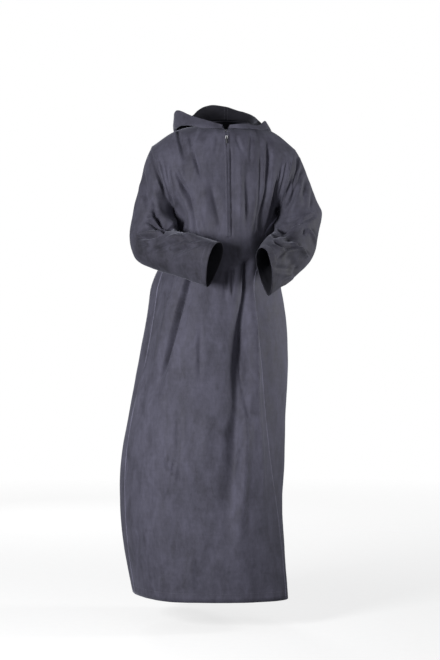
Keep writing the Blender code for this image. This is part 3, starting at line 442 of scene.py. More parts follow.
# Places where one piece of cloth is pushed against another, in millimetres: where, how far round
# it and which way.
Push = namedtuple("Push", "x y z reach dx dy")
BODY_PUSHES = in_metres(Push, Push._fields, [
    (-160, 0, -238, 45, -8, 0),
    (145, 0, -290, 45, 8, 0),
    (-138, -110, -285, 45, 0, -16),
])
RIGHT_SLEEVE_PUSHES = in_metres(Push, Push._fields, [(-168, 0, -240, 50, 10, 0)])
LEFT_SLEEVE_PUSHES = in_metres(Push, Push._fields, [(152, 0, -285, 50, -10, 0)])

# How each piece is draped: its folds and creases, which way it faces (-1 is to the front), which
# edges are sewn or held, and how far its stitched groove lies from the bottom.
SEWN = ("top", "left", "right")
Piece = namedtuple("Piece", "folds creases facing held hem")
FRONT_PIECE = Piece(FRONT_FOLDS, FRONT_CREASES, -1, SEWN, HEM_DEEP)
BACK_PIECE = Piece(BACK_FOLDS, BACK_CREASES, 1, SEWN, HEM_DEEP)
HOOD_PIECE = Piece([], HOOD_CREASES, -1, ("top", "bottom"), NO_HEM)
RIGHT_PIECE = Piece(RIGHT_SLEEVE_FOLDS, RIGHT_SLEEVE_CREASES, -1, ("top",), CUFF_DEEP)
LEFT_PIECE = Piece(LEFT_SLEEVE_FOLDS, LEFT_SLEEVE_CREASES, -1, ("top",), CUFF_DEEP)
# A sleeve: its rings, which way round they run, what it is pushed by, how it is draped, and the
# creases on the side that faces back.
Sleeve = namedtuple("Sleeve", "rings order pushes piece behind")
SLEEVES = {
    "right": Sleeve(RIGHT_SLEEVE, 1, RIGHT_SLEEVE_PUSHES, RIGHT_PIECE, RIGHT_BEHIND_CREASES),
    "left": Sleeve(LEFT_SLEEVE, -1, LEFT_SLEEVE_PUSHES, LEFT_PIECE, LEFT_BEHIND_CREASES),
}

# ---------------------------------------------------------------- values of the materials
METALLIC = 0.6  # plated metal with a dull film
METAL_WEAR = 0.16  # how much rougher the metal is where it's handled
CLOTH_DARK = (0.014, 0.0134, 0.0195)
CLOTH_LIGHT = (0.082, 0.080, 0.114)
REVERSE_SHADE_SHARE = 0.30  # the cloth's reverse is this much of the face's tone: partly the darker back of the cloth, partly painted shade inside the hood, cuffs and hollows
THREAD_COLOURS = ((0.045, 0.044, 0.058), (0.120, 0.118, 0.150))
TAPE_COLOURS = ((0.012, 0.012, 0.015), (0.040, 0.040, 0.048))
TEETH_COLOURS = ((0.10, 0.10, 0.11), (0.22, 0.22, 0.24))
SLIDER_COLOURS = ((0.86, 0.86, 0.88), (0.95, 0.95, 0.96))
PULL_COLOURS = ((0.07, 0.07, 0.075), (0.14, 0.14, 0.15))
FLOOR_COLOURS = ((0.23, 0.23, 0.232), (0.26, 0.26, 0.262))
NOISE_RANGE = (0.3, 0.7)  # noise hardly leaves this range
EVENLY = (1.0, 1.0, 1.0)  # drawn out the same along each axis
# The layers of the suede: how fine the noise is, how it is drawn out along each axis (None for
# the look's own streak), detail, roughness and distortion, and the tone that it adds from its
# lowest to its highest.
Layer = namedtuple("Layer", "scale stretch detail roughness distortion low high")
SUEDE_LAYERS = {
    "broad": Layer(6.0, (1.0, 1.0, 0.6), 3.0, 0.5, 0.0, 0.10, 0.30),
    "nap": Layer(30.0, None, 4.0, 0.6, 0.4, 0.0, 0.42),
    "slub": Layer(60.0, (0.4, 0.4, 2.0), 3.0, 0.6, 0.0, -0.02, 0.06),
    "mottle": Layer(110.0, (1.0, 1.0, 0.5), 4.0, 0.65, 0.0, -0.09, 0.09),
    "fine": Layer(700.0, EVENLY, 2.0, 0.6, 0.0, 0.0, 0.12),
}
SUEDE_HEIGHTS = (("nap", 0.5), ("fine", 0.35), ("slub", 0.10))  # their shares of its height
FOREARM_SHADE_HEIGHTS = (-0.34, -0.27)  # below these heights the sleeves' tone is lowered: painted shade on the forearms
# The cloth's looks: its tone as a share of the body's, how its nap is drawn out along each axis,
# and the painted shade that its tone gains below the forearm shade heights. The sleeves' and the
# hood's lower tones are painted shade, and the seam's much lighter tone is a painted highlight.
Look = namedtuple("Look", "name tone streak forearm")
LOOKS = [
    Look("body", 1.00, (1.0, 1.0, 0.45), 0.0),
    # painted shade: the sleeve's and the hood's tones are lowered below the body's
    Look("sleeve", 0.82, (0.8, 0.8, 0.6), -0.24),
    Look("hood", 0.90, (0.6, 0.6, 0.9), 0.0),
    # painted highlight: the seam's tone is raised far above the body's
    Look("seam", 2.35, (1.0, 1.0, 0.45), 0.0),
]

# The cut of what shows of each piece, flat: its width all round or across, and its length.
Cut = namedtuple("Cut", "width length area held")


# ---------------------------------------------------------------- lines of the cut, as in the CAD
def hermite(keys, values, at):
    """Smooth curve through the values at the keys, read at other keys."""
    keys, values, at = [np.asarray(item, float) for item in (keys, values, at)]
    rise = np.diff(values, axis=0) / np.diff(keys)[:, None]
    slope = np.empty_like(values)
    slope[0], slope[-1] = rise[0], rise[-1]
    before = np.diff(keys)[:-1, None]
    after = np.diff(keys)[1:, None]
    slope[1:-1] = (rise[:-1] * after + rise[1:] * before) / (before + after)
    span = np.clip(np.searchsorted(keys, at, side="right") - 1, 0, len(keys) - 2)
    width = (keys[span + 1] - keys[span])[:, None]
    t = (at - keys[span])[:, None] / width
    return (
        values[span] * (1 + 2 * t) * (1 - t) ** 2
        + slope[span] * width * t * (1 - t) ** 2
        + values[span + 1] * t**2 * (3 - 2 * t)
        + slope[span + 1] * width * t**2 * (t - 1)
    )


def unit(vectors):
    return vectors / np.linalg.norm(vectors, axis=-1, keepdims=True)


def smooth_step(t):
    t = np.clip(t, 0, 1)
    return t * t * (3 - 2 * t)


def running_sum(steps):
    """The sum so far at the start and after each step."""
    return np.concatenate([[0.0], np.cumsum(steps)])


def steps_of(line):
    """The lengths between the places of a line. Each row starts with its place."""
    return np.linalg.norm(np.diff(line[:, :3], axis=0), axis=1)


def length_of(line):
    return steps_of(line).sum()


def read_at(line, distances):
    """The rows of a line at these distances from its start."""
    reach = running_sum(steps_of(line))
    return np.stack([np.interp(distances, reach, column) for column in line.T], axis=-1)


def spread(line, shares):
    """The rows of a line at these shares of its length."""
    return read_at(line, np.asarray(shares) * length_of(line))


def fine_keys(keys, steps):
    """Keys with this many even steps between two of the keys given."""
    count = len(keys)
    return np.interp(np.arange((count - 1) * steps + 1) / steps, np.arange(count), keys)


def line_through(points):
    """Fine points of an open smooth line, with LINE_STEPS steps between two places."""
    points = np.asarray(points, float)
    keys = running_sum(np.sqrt(steps_of(points)))  # by the root of each chord, so it never loops
    return hermite(keys, points, fine_keys(keys, LINE_STEPS))


def ring_through(points):
    """Fine points of a closed smooth line, which starts and ends at the first place."""
    points = np.asarray(points, float)
    fine = line_through(np.concatenate([points[-WRAP:], points, points[: WRAP + 1]]))
    return fine[WRAP * LINE_STEPS : (WRAP + len(points)) * LINE_STEPS + 1]


def edge_shares(line, columns, middle_margin=0.0):
    """Shares from a sewn edge to the middle: a narrow strip first, then even columns."""
    whole = length_of(line)
    even = np.linspace(SEAM_STRIP / whole, 1 - middle_margin / whole, columns)
    return np.concatenate([[SEAM_GAP / 2 / whole], even])


def neckline(angles_deg, inset=0.0):
    """Points of the neck opening. Angle 0 is the middle of the front, positive to the left."""
    a = np.radians(np.asarray(angles_deg, float))
    x = (NECK_HALF_WIDTH - inset) * np.sin(a)
    middle_y = (NECK_FRONT_Y + NECK_BACK_Y) / 2
    y = middle_y - ((NECK_BACK_Y - NECK_FRONT_Y) / 2 - inset) * np.cos(a)
    z = (NECK_FRONT_Z + NECK_BACK_Z) / 2 + (NECK_FRONT_Z - NECK_BACK_Z) / 2 * np.cos(a)
    return np.stack([x, y, z], axis=1)


def ring_points(ring, angles):
    """Points of a sleeve ring. Angle 0 is its outer side, a quarter turn its front."""
    outer, inner = np.array(ring.outer), np.array(ring.inner)
    turn = math.radians(ring.turn_deg)
    front = np.array([-math.sin(turn), -math.cos(turn), 0.0]) * ring.half_depth
    angles = np.asarray(angles)[:, None]
    across = np.sin(angles) * (1 - ring.pinch * np.cos(angles))
    return (outer + inner) / 2 + np.cos(angles) * (outer - inner) / 2 + across * front


def armhole(side, angle):
    """A point of the armhole: angle 0 on the shoulder, pi in the armpit, positive in front."""
    ring = RIGHT_SLEEVE[0] if side < 0 else LEFT_SLEEVE[0]
    low = (*ring.inner[:2], ring.inner[2] - ARMPIT_EASE)
    return ring_points(ring._replace(inner=low), [angle])[0]


def armhole_angles():
    """Angles of the armhole's points, which the body's rows and the sleeve's rings share."""
    torso = np.linspace(0, 1, TORSO_ROWS + 1)
    return np.concatenate([[0], yoke_shares()[2:], 1 + torso]) * math.pi / 2


def yoke_shares():
    """Rows from the shoulder seam to mid armhole: half a gap, the seam's strip, then even rows."""
    reach = RIGHT_SLEEVE[0].half_depth * math.pi / 2
    even = np.linspace(SEAM_STRIP / reach, 1, YOKE_ROWS)[:-1]
    return np.concatenate([[SEAM_GAP / 2 / reach], even])


def top_half(side, facing):
    """Shoulder seam, then neckline to the middle. facing is -1 for the front, 1 for the back."""
    seam_end = neckline([side * 90])[0]
    shoulder = armhole(side, 0)
    crown = (seam_end + shoulder) / 2 + np.array([0, 0, SHOULDER_CROWN])
    seam = line_through([shoulder, crown, seam_end])
    last = 0 if facing < 0 else 180
    arc = neckline(np.linspace(side * 90, side * last, LINE_STEPS + 1))
    return seam, arc


def row_places(edge_r, middle, edge_l):
    """Edge, quarter, middle, quarter and edge of a row over the chest or over the back."""
    edge_r, middle, edge_l = np.array(edge_r), np.array(middle), np.array(edge_l)

    def quarter(edge):
        place = middle + (edge - middle) * QUARTER_OUT
        place[1] = edge[1] + (middle[1] - edge[1]) * QUARTER_FULL
        return place

    return [edge_r, quarter(edge_r), middle, quarter(edge_l), edge_l]


def torso_row(share, facing):
    """Right and left half of the row at a share of the way from mid armhole to armpit."""
    angle = -facing * (math.pi / 2) * (1 + share)
    edge_r, edge_l = armhole(-1, angle), armhole(1, angle)
    start, end = (CHEST_FRONT, ARMPIT_FRONT) if facing < 0 else (CHEST_BACK, ARMPIT_BACK)
    x, y = np.array(start) + (np.array(end) - np.array(start)) * share
    middle = (x, y, (edge_r[2] + edge_l[2]) / 2)
    line = line_through(row_places(edge_r, middle, edge_l))
    half = len(line) // 2
    return line[: half + 1], line[half:][::-1]


def armpit_section():
    """The section table's row at the armpits."""
    right, left = armhole(-1, math.pi), armhole(1, math.pi)
    return Section(
        (right[2] + left[2]) / 2, right[0], right[1], *ARMPIT_FRONT, left[0], left[1],
        left[0] + ARMPIT_FULL, right[0] - ARMPIT_FULL, *ARMPIT_BACK,
    )  # fmt: skip


def section_at(z):
    table = np.array([armpit_section(), *SECTIONS])[::-1]
    return Section(*hermite(table[:, 0], table, [z])[0])


def section_ring(s, tilt):
    """Closed line round the robe at a section. tilt lowers the left armpit's side."""
    front = row_places(
        (s.seam_r_x, s.seam_r_y), (s.front_x, s.front_y), (s.seam_l_x, s.seam_l_y)
    )
    back = row_places(
        (s.side_r_x, s.seam_r_y + (s.back_y - s.seam_r_y) * SIDE_SHARE),
        (s.back_x, s.back_y),
        (s.side_l_x, s.seam_l_y + (s.back_y - s.seam_l_y) * SIDE_SHARE),
    )
    ring = ring_through(front + back[::-1])
    return np.column_stack([ring, s.z - tilt * ring[:, 0]])


def skirt_row(share, facing):
    """Right and left half of the row at a share of the way from armpit to hem."""
    top = armpit_section().z
    right, left = armhole(-1, math.pi), armhole(1, math.pi)
    tilt = (right[2] - left[2]) / (left[0] - right[0]) * (1 - share) ** 2
    ring = section_ring(section_at(top + (HEM_Z - top) * share), tilt)
    step = LINE_STEPS
    if facing < 0:  # seam_r, quarter, front, quarter, seam_l
        return ring[: 2 * step + 1], ring[2 * step : 4 * step + 1][::-1]
    # side_l, quarter, back, quarter, side_r, seam_r
    return ring[7 * step :][::-1], ring[4 * step : 7 * step + 1]


def body_grid(facing):
    """Rows of points of the front (facing -1) or the back (facing 1), right edge to left edge."""
    half_columns = FRONT_HALF_COLUMNS if facing < 0 else BACK_HALF_COLUMNS
    on_shoulder = SHOULDER_COLUMNS[facing > 0]
    margin = ZIP_HALF_SLIT if facing < 0 else 0.0

    def join(right, left):
        first = 0 if margin else 1  # the back's halves share their middle point
        return np.concatenate([right, left[::-1][first:]])

    def whole_row(halves):
        return join(*[spread(half, edge_shares(half, half_columns, margin)) for half in halves])

    def top_columns(side):
        seam, arc = top_half(side, facing)
        last = 1 - margin / length_of(arc)
        on_arc = np.linspace(0, last, half_columns - on_shoulder + 1)[1:]
        return np.concatenate([spread(seam, edge_shares(seam, on_shoulder)), spread(arc, on_arc)])

    top = join(top_columns(-1), top_columns(1))
    chest = whole_row(torso_row(0, facing))
    rows = []
    for share in yoke_shares():
        forward, down = math.sin(share * math.pi / 2), 1 - math.cos(share * math.pi / 2)
        rows.append(top + (chest - top) * np.array([down, forward, down]))
    for share in np.linspace(0, 1, TORSO_ROWS + 1)[:-1]:
        rows.append(whole_row(torso_row(share, facing)))
    for share in np.linspace(0, 1, SKIRT_ROWS + 1) ** SKIRT_SPACING:
        rows.append(whole_row(skirt_row(share, facing)))
    return np.array(rows)


def outward(grid, closed=False):
    """Unit normals at the points of a grid."""
    if closed:
        across = np.roll(grid, -1, axis=1) - np.roll(grid, 1, axis=1)
    else:
        across = np.gradient(grid, axis=1)
    return unit(np.cross(np.gradient(grid, axis=0), across))


def edge_distance(grid, edge):
    """How far each point lies from an edge, along its row or column: top, bottom, left or right."""
    axis = 0 if edge in ("top", "bottom") else 1
    steps = np.linalg.norm(np.diff(grid, axis=axis), axis=2)
    start = np.zeros_like(steps.take([0], axis))
    reach = np.concatenate([start, np.cumsum(steps, axis)], axis)
    return reach.take([-1], axis) - reach if edge in ("bottom", "right") else reach


def held_edges(grid, edges, reach):
    """0 near the sewn edges of a grid and 1 well inside."""
    hold = np.ones(grid.shape[:2])
    for edge in edges:
        hold = hold * smooth_step((edge_distance(grid, edge) - reach[0]) / reach[1])
    return hold


def evened(grid, edges):
    """The grid with the rows near the armpits moved towards their neighbours, edges held."""
    rows_away = np.abs(np.arange(len(grid)) - YOKE_ROWS - TORSO_ROWS)
    near = smooth_step(2 - 2 * rows_away / EVEN_ROWS)
    hold = (held_edges(grid, edges, EVEN_HOLD) * near[:, None])[1:-1, :, None] / 2
    for _ in range(EVEN_ROUNDS):
        halfway = (grid[:-2] + grid[2:]) / 2
        grid[1:-1] += (halfway - grid[1:-1]) * hold
    return grid


def sleeve_grid(table):
    """Rings of a sleeve from armhole to cuff, each closed on itself."""
    flat = np.array([[*r.outer, *r.inner, r.half_depth, r.turn_deg, r.pinch] for r in table])
    last = len(table) - 1
    at = np.concatenate([[0], np.linspace(RING_STRIP, last, SLEEVE_RINGS)])
    half = armhole_angles()
    angles = np.concatenate([half, -half[1:-1][::-1]])
    rings = [SleeveRing(r[:3], r[3:6], *r[6:]) for r in hermite(np.arange(last + 1), flat, at)]
    grid = np.array([ring_points(ring, angles) for ring in rings])
    grid[0] += unit(grid[1] - grid[0]) * SLEEVE_GAP
    return grid


def hood_grid(side):
    """Rows of a hood half, from neck seam to rim. side is -1 for the wearer's right."""
    keys = np.array([station.angle_deg for station in HOOD], float)
    first, last = (keys[0], 180.0) if side < 0 else (180.0, keys[-1])
    at = np.linspace(first, last, HOOD_COLUMNS)
    at = np.sort(np.append(at, 180 + side * HOOD_STRIP_DEG))
    lines = [np.concatenate([s.roll, s.bag, s.rim]) for s in HOOD]
    cage = hermite(keys, lines, at).reshape(-1, 3, 3)
    neck = neckline(-at, inset=CLOTH / 2) + np.array([0, 0, HOOD_LIFT])
    cage = np.concatenate([neck[:, None], cage], axis=1)
    cage[at == 180, :, 0] += side * SEAM_GAP / 2
    return np.stack([hood_column(places) for places in cage], axis=1)


def hood_column(places):
    """Points down one line of the hood, with the same rows between its places in every line."""
    line = line_through(places)
    rows = [line[:1]]
    for span, count in enumerate(HOOD_ROWS):
        piece = line[span * LINE_STEPS : (span + 1) * LINE_STEPS + 1]
        rows.append(spread(piece, np.linspace(0, 1, count + 1)[1:]))
    return np.concatenate(rows)


# ---------------------------------------------------------------- finer cloth
def finer_rows(grid, steps):
    """The grid with this many steps for each of its rows, along smooth lines."""
    keys = running_sum(np.linalg.norm(np.diff(grid, axis=0), axis=2).mean(axis=1))
    at = fine_keys(keys, steps)
    return hermite(keys, grid.reshape(len(grid), -1), at).reshape(len(at), *grid.shape[1:])


def refined(grid, row_steps, column_steps, closed=False):
    """The grid with this many steps for each of its rows and columns."""
    if closed:
        grid = np.concatenate([grid[:, -CLOSED_WRAP:], grid, grid[:, : CLOSED_WRAP + 1]], axis=1)
    grid = finer_rows(grid, row_steps)
    grid = finer_rows(grid.transpose(1, 0, 2), column_steps).transpose(1, 0, 2)
    if closed:
        grid = grid[:, CLOSED_WRAP * column_steps : -CLOSED_WRAP * column_steps - 1]
    return grid


def bell(distance, width):
    """1 at no distance, falling off smoothly over this width."""
    return np.exp(-((distance / width) ** 2))


def crease_depth(crease, x, z):
    """How far this crease moves the points at these places in: a valley with a lip on one side."""
    run_x, run_z = crease.x1 - crease.x0, crease.z1 - crease.z0
    long = math.hypot(run_x, run_z)
    off_x, off_z = x - crease.x0, z - crease.z0
    share = (off_x * run_x + off_z * run_z) / long**2
    bent = 4 * share * (1 - share) * crease.bend
    across = ((off_z * run_x - off_x * run_z) / long - bent) / crease.width
    across /= 1 + crease.lean * np.sign(across)
    along = smooth_step(share / crease.fade_in) * smooth_step((1 - share) / crease.fade_out)
    lip = abs(crease.lip) * bell(across - np.sign(crease.lip) * LIP_AT, LIP_SPREAD)
    return crease.depth * along * (bell(across, 1.0) - lip)


def pushed(grid, pushes):
    """The grid with its soft local pushes."""
    shift = np.zeros_like(grid)
    for push in pushes:
        away = ((grid - np.array([push.x, push.y, push.z])) ** 2).sum(-1)
        share = np.exp(-away / push.reach**2)
        shift += share[..., None] * np.array([push.dx, push.dy, 0.0])
    return grid + shift


def ripple(grid):
    """How far each point rises in faint uneven waves, as cloth has between its folds."""
    rise = np.zeros(grid.shape[:2])
    for wave in WAVES:
        phase = grid @ np.array([wave.x, wave.y, wave.z]) * 2 * math.pi + wave.phase
        bend = np.sin(grid[..., 2] * wave.bend_z + wave.phase * RIPPLE_SHIFT)
        rise += wave.share * np.sin(phase + RIPPLE_BEND * bend)
    return rise * RIPPLE_HEIGHT


def sunk(rows, grid, normal, held, hold, full):
    """How far these folds or creases move the points in, where the normals' Y is above zero."""
    depth = sum(crease_depth(row, grid[..., 0], grid[..., 2]) for row in rows)
    return depth * smooth_step(normal[..., 1] / full) * held_edges(grid, held, hold)


def folded_finely(grid, piece, closed=False, where=1.0):
    """The grid with its folds, creases, ripples and seam grooves, all along its own normals.

    where is the share of its depth that each crease has at each point.
    """
    normal = outward(grid, closed)
    facing = normal * piece.facing
    sink = sunk(piece.folds, grid, facing, piece.held, SEAM_HOLD, FOLD_FACING)
    sink = sink + where * sunk(piece.creases, grid, facing, piece.held, CREASE_HOLD, CREASE_FACING)
    sink = sink + HEM_GROOVE * bell(edge_distance(grid, "bottom") - piece.hem, HEM_GROOVE_WIDTH)
    sink -= ripple(grid) * held_edges(grid, piece.held, SEAM_HOLD)
    if not closed:
        away = edge_distance(grid, "top")
        sink += GROOVE_DEPTH * bell(away, GROOVE_WIDTH)
        sink -= SEAM_RISE * bell(away - SEAM_RISE_AT, SEAM_RISE_WIDTH)
    return grid - normal * sink[..., None]


def body_cloth(facing, steps, piece):
    """The fine grid of the front (facing -1) or the back (facing 1)."""
    grid = evened(body_grid(facing)[:, ::-facing], SEWN)
    return folded_finely(pushed(refined(grid, ROW_STEPS, steps), BODY_PUSHES), piece)


def sleeve_cloth(sleeve):
    """The fine grid of a sleeve, with creases on its front and behind."""
    grid = sleeve_grid(sleeve.rings)[:, :: sleeve.order]
    grid = pushed(refined(grid, SLEEVE_STEPS, SLEEVE_STEPS, closed=True), sleeve.pushes)
    grid = folded_finely(grid, sleeve.piece, closed=True)
    normal = outward(grid, closed=True)
    sink = sunk(sleeve.behind, grid, normal, sleeve.piece.held, CREASE_HOLD, CREASE_FACING)
    return grid - normal * sink[..., None]


def hood_cloth(side):
    """The fine grid of a hood half, with creases on its bag behind the neck, none on its flap."""
    grid = refined(hood_grid(side)[:, ::-1], HOOD_STEPS, HOOD_STEPS)
    return folded_finely(grid, HOOD_PIECE, where=smooth_step((grid[..., 1] - BAG_FRONT) / BAG_FADE))


# ---------------------------------------------------------------- meshes
def placed(name, data, place=(0, 0, 0)):
    """A new object of the scene."""
    obj = bpy.data.objects.new(name, data)
    obj.location = place
    bpy.context.scene.collection.objects.link(obj)
    return obj


def mesh_data(name, mesh, mats):
    data = bpy.data.meshes.new(name)
    mesh.to_mesh(data)
    mesh.free()
    data.shade_smooth()
    for item in mats:
        data.materials.append(item)
    return data


def robe_object(name, mesh, mats):
    """A new object that stays with the robe."""
    obj = placed(name, mesh_data(name, mesh, mats))
    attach(obj, "robe")
    return obj


def cloth_piece(name, grid, mats, thick=CLOTH, closed=False, skip=None):
    """A thin shell of cloth over a grid, thickened inwards. skip tells which faces are left out."""
    rows, columns = grid.shape[:2]
    mesh = bmesh.new()
    points = [[mesh.verts.new(p) for p in row] for row in grid]
    for i in range(rows - 1):
        for j in range(columns if closed else columns - 1):
            if skip and skip(i, j):
                continue
            k = (j + 1) % columns
            mesh.faces.new((points[i][j], points[i + 1][j], points[i + 1][k], points[i][k]))
    loose = [v for v in mesh.verts if not v.link_faces]
    bmesh.ops.delete(mesh, geom=loose, context="VERTS")
    obj = robe_object(name, mesh, mats)
    wall = obj.modifiers.new("Cloth wall", "SOLIDIFY")
    wall.thickness = thick
    wall.offset = -1.0
    wall.material_offset = len(mats) - 1
    return obj


def line_at(grid, edge, distance, closed=False):
    """The line over a grid at this distance from an edge: in each row a place and its normal."""
    both = np.concatenate([grid, outward(grid, closed)], axis=2)
    if edge in ("top", "bottom"):
        both = both.transpose(1, 0, 2)
    if edge in ("bottom", "right"):
        both = both[:, ::-1]
    line = np.array([read_at(across, distance) for across in both])
    return np.concatenate([line, line[:1]]) if closed else line


def tube(mesh, rings):
    """A closed skin over rings of points."""
    rings = [[mesh.verts.new(p) for p in ring] for ring in rings]
    for first, second in zip(rings, rings[1:]):
        for k in range(len(first)):
            n = (k + 1) % len(first)
            mesh.faces.new((first[k], first[n], second[n], second[k]))
    mesh.faces.new(rings[0][::-1])
    mesh.faces.new(rings[-1])


def bead(mesh, places):
    """One stitch: a four sided rod that arches over the cloth and dips into it at both ends."""
    run = unit(places[-1, :3] - places[0, :3])
    rings = []
    for place, lift, wide in zip(places, STITCH_LIFT, STITCH_WIDE):
        normal = unit(place[3:])
        side = np.cross(run, normal)
        middle = place[:3] + normal * lift
        rings.append([middle + way * THREAD * wide for way in (side, normal, -side, -normal)])
    tube(mesh, rings)


def stitches(name, lines, mat):
    """Thread stitches along lines of places and normals, each a small arched bead."""
    mesh = bmesh.new()
    for line in lines:
        whole = length_of(line)
        count = int(whole / (STITCH + STITCH_GAP))
        starts = (np.arange(count) + 0.5) * whole / count - STITCH / 2
        for places in read_at(line, starts[:, None] + np.array(STITCH_ALONG) * STITCH):
            bead(mesh, places)
    robe_object(name, mesh, [mat])


def roll(name, line, mats):
    """A thin roll of turned cloth along a line, half sunk in the cloth."""
    line = spread(line, np.linspace(0, 1, int(length_of(line) / ROLL_STEP)))
    place, normal = line[:, None, :3], line[:, None, 3:]
    side = unit(np.cross(unit(np.gradient(line[:, :3], axis=0)), line[:, 3:]))[:, None]
    turn = np.linspace(0, 2 * math.pi, ROLL_SIDES, endpoint=False)[:, None]
    rings = place - normal * ROLL_SINK
    rings = rings + side * np.cos(turn) * ROLL_WIDE + normal * np.sin(turn) * ROLL_HIGH
    mesh = bmesh.new()
    tube(mesh, rings)
    bmesh.ops.recalc_face_normals(mesh, faces=mesh.faces)
    robe_object(name, mesh, mats)


# ---------------------------------------------------------------- materials
class Nodes:
    """A short way to build the node tree of a material or of the world."""

    def __init__(self, owner):
        owner.use_nodes = True
        self.owner = owner
        self.tree = owner.node_tree

    def feed(self, node, inputs):
        """Give a node's sockets their plain values or the outputs that lead to them."""
        for key, value in inputs.items():
            if isinstance(value, bpy.types.NodeSocket):
                self.tree.links.new(value, node.inputs[key])
            else:
                node.inputs[key].default_value = value
        return node

    def surface(self, **inputs):
        """Feed the material's own shader, with _ for each space in a socket's name."""
        shader = self.tree.nodes["Principled BSDF"]
        self.feed(shader, {key.replace("_", " "): value for key, value in inputs.items()})
        return self.owner

    def add(self, kind, inputs, **settings):
        node = self.tree.nodes.new("ShaderNode" + kind)
        for key, value in settings.items():
            setattr(node, key, value)
        return self.feed(node, inputs)

    def stretched(self, scale):
        """Object coordinates, scaled along each axis."""
        place = self.add("TexCoord", {}).outputs["Object"]
        return self.add("Mapping", {"Vector": place, "Scale": scale}).outputs["Vector"]

    def noise(self, scale, stretch=EVENLY, detail=3.0, roughness=0.5, distortion=0.0):
        inputs = {"Scale": scale, "Detail": detail, "Roughness": roughness, "Distortion": distortion}
        inputs["Vector"] = self.stretched(stretch)
        return self.add("TexNoise", inputs).outputs["Fac"]

    def ranged(self, value, to, start=NOISE_RANGE):
        """The value turned from its own range to another one."""
        sockets = ("Value", "From Min", "From Max", "To Min", "To Max")
        inputs = dict(zip(sockets, (value, *start, *to)))
        return self.add("MapRange", inputs).outputs["Result"]

    def math(self, operation, first, second):
        node = self.add("Math", {0: first, 1: second}, operation=operation)
        return node.outputs["Value"]

    def ramp(self, value, colours):
        """From the first colour at 0 to the second at 1."""
        node = self.add("ValToRGB", {"Fac": value})
        for item, place, colour in zip(node.color_ramp.elements, (0.0, 1.0), colours):
            item.position = place
            item.color = (*colour, 1.0)
        return node.outputs["Color"]

    def bump(self, height, strength, distance):
        inputs = {"Height": height, "Strength": strength, "Distance": distance}
        return self.add("Bump", inputs).outputs["Normal"]


def new_material(name):
    return Nodes(bpy.data.materials.new(name))


def suede(name, share, streak, forearm=0.0):
    """Brushed microfibre suede: a short nap that lies in streaks, over a very fine weave."""
    n = new_material(name)
    tone = 0.0
    layers = {}
    for key, layer in SUEDE_LAYERS.items():
        stretch = layer.stretch or streak
        layers[key] = n.noise(layer.scale, stretch, layer.detail, layer.roughness, layer.distortion)
        tone = n.math("ADD", tone, n.ranged(layers[key], to=(layer.low, layer.high)))
    place = n.add("SeparateXYZ", {"Vector": n.stretched(EVENLY)})
    # Painted shade: the sleeves' tone drops below the forearm shade heights, where the forearms face
    # down into shade.
    forearm_shade = n.ranged(place.outputs["Z"], to=(forearm, 0.0), start=FOREARM_SHADE_HEIGHTS)
    tone = n.math("ADD", tone, forearm_shade)
    height = 0.0
    for key, part in SUEDE_HEIGHTS:
        height = n.math("ADD", height, n.math("MULTIPLY", layers[key], part))
    return n.surface(
        Base_Color=n.ramp(tone, (np.array(CLOTH_DARK) * share, np.array(CLOTH_LIGHT) * share)),
        Roughness=n.ranged(layers["nap"], to=(0.70, 0.86)),
        Specular_IOR_Level=0.25,
        Sheen_Weight=0.14,
        Sheen_Roughness=0.45,
        Sheen_Tint=(0.80, 0.82, 1.0, 1.0),
        Normal=n.bump(height, strength=0.35, distance=0.0010),
    )


def thread(name):
    """Twisted sewing thread."""
    n = new_material(name)
    twist = n.noise(scale=2500.0, detail=2.0)
    return n.surface(
        Base_Color=n.ramp(twist, THREAD_COLOURS),
        Roughness=n.ranged(twist, to=(0.45, 0.65)),
        Normal=n.bump(twist, strength=0.3, distance=0.0002),
    )


def metal(name, colours, rough):
    """Plated zinc with faint scratches and a duller look where it's handled."""
    n = new_material(name)
    scratch = n.noise(scale=900.0, stretch=(1.0, 1.0, 0.08))
    wear = n.noise(scale=220.0, detail=2.0)
    return n.surface(
        Base_Color=n.ramp(wear, colours),
        Roughness=n.ranged(wear, to=(rough, rough + METAL_WEAR)),
        Metallic=METALLIC,
        Normal=n.bump(scratch, strength=0.15, distance=0.0001),
    )


def tape(name):
    """Woven zip tape, with its ribs along the zip."""
    n = new_material(name)
    rib = n.add(
        "TexWave",
        {"Vector": n.stretched(EVENLY), "Scale": 260.0, "Distortion": 0.6},
        bands_direction="Z",
    )
    shade = n.noise(scale=500.0)
    return n.surface(
        Base_Color=n.ramp(shade, TAPE_COLOURS),
        Roughness=n.ranged(shade, to=(0.55, 0.75)),
        Normal=n.bump(rib.outputs["Fac"], strength=0.4, distance=0.0003),
    )


def pale_floor():
    """Pale studio paper, which fades into the background at its rim."""
    n = new_material("Studio paper")
    path = n.add("LightPath", {})
    across = n.stretched((1 / FLOOR_RADIUS, 1 / FLOOR_RADIUS, 0))
    gradient = n.add("TexGradient", {"Vector": across}, gradient_type="SPHERICAL")
    return n.surface(
        Base_Color=n.ramp(n.noise(scale=40.0, detail=2.0), FLOOR_COLOURS),
        Roughness=0.9,
        Specular_IOR_Level=0.0,
        Emission_Color=(1.0, 1.0, 1.0, 1.0),
        Emission_Strength=n.math("MULTIPLY", path.outputs["Is Camera Ray"], FLOOR_GLOW),
        Alpha=n.ranged(gradient.outputs["Fac"], to=(0.0, 1.0), start=FLOOR_FADE),
    )


# ---------------------------------------------------------------- studio
def area_light(name, place, target, size, watts, spread_deg):
    data = bpy.data.lights.new(name, "AREA")
    data.shape = "RECTANGLE"
    data.size, data.size_y = size
    data.energy = watts
    data.spread = math.radians(spread_deg)
    light = placed(name, data, place)
    light.rotation_mode = "QUATERNION"
    light.rotation_quaternion = (Vector(target) - Vector(place)).to_track_quat("-Z", "Y")


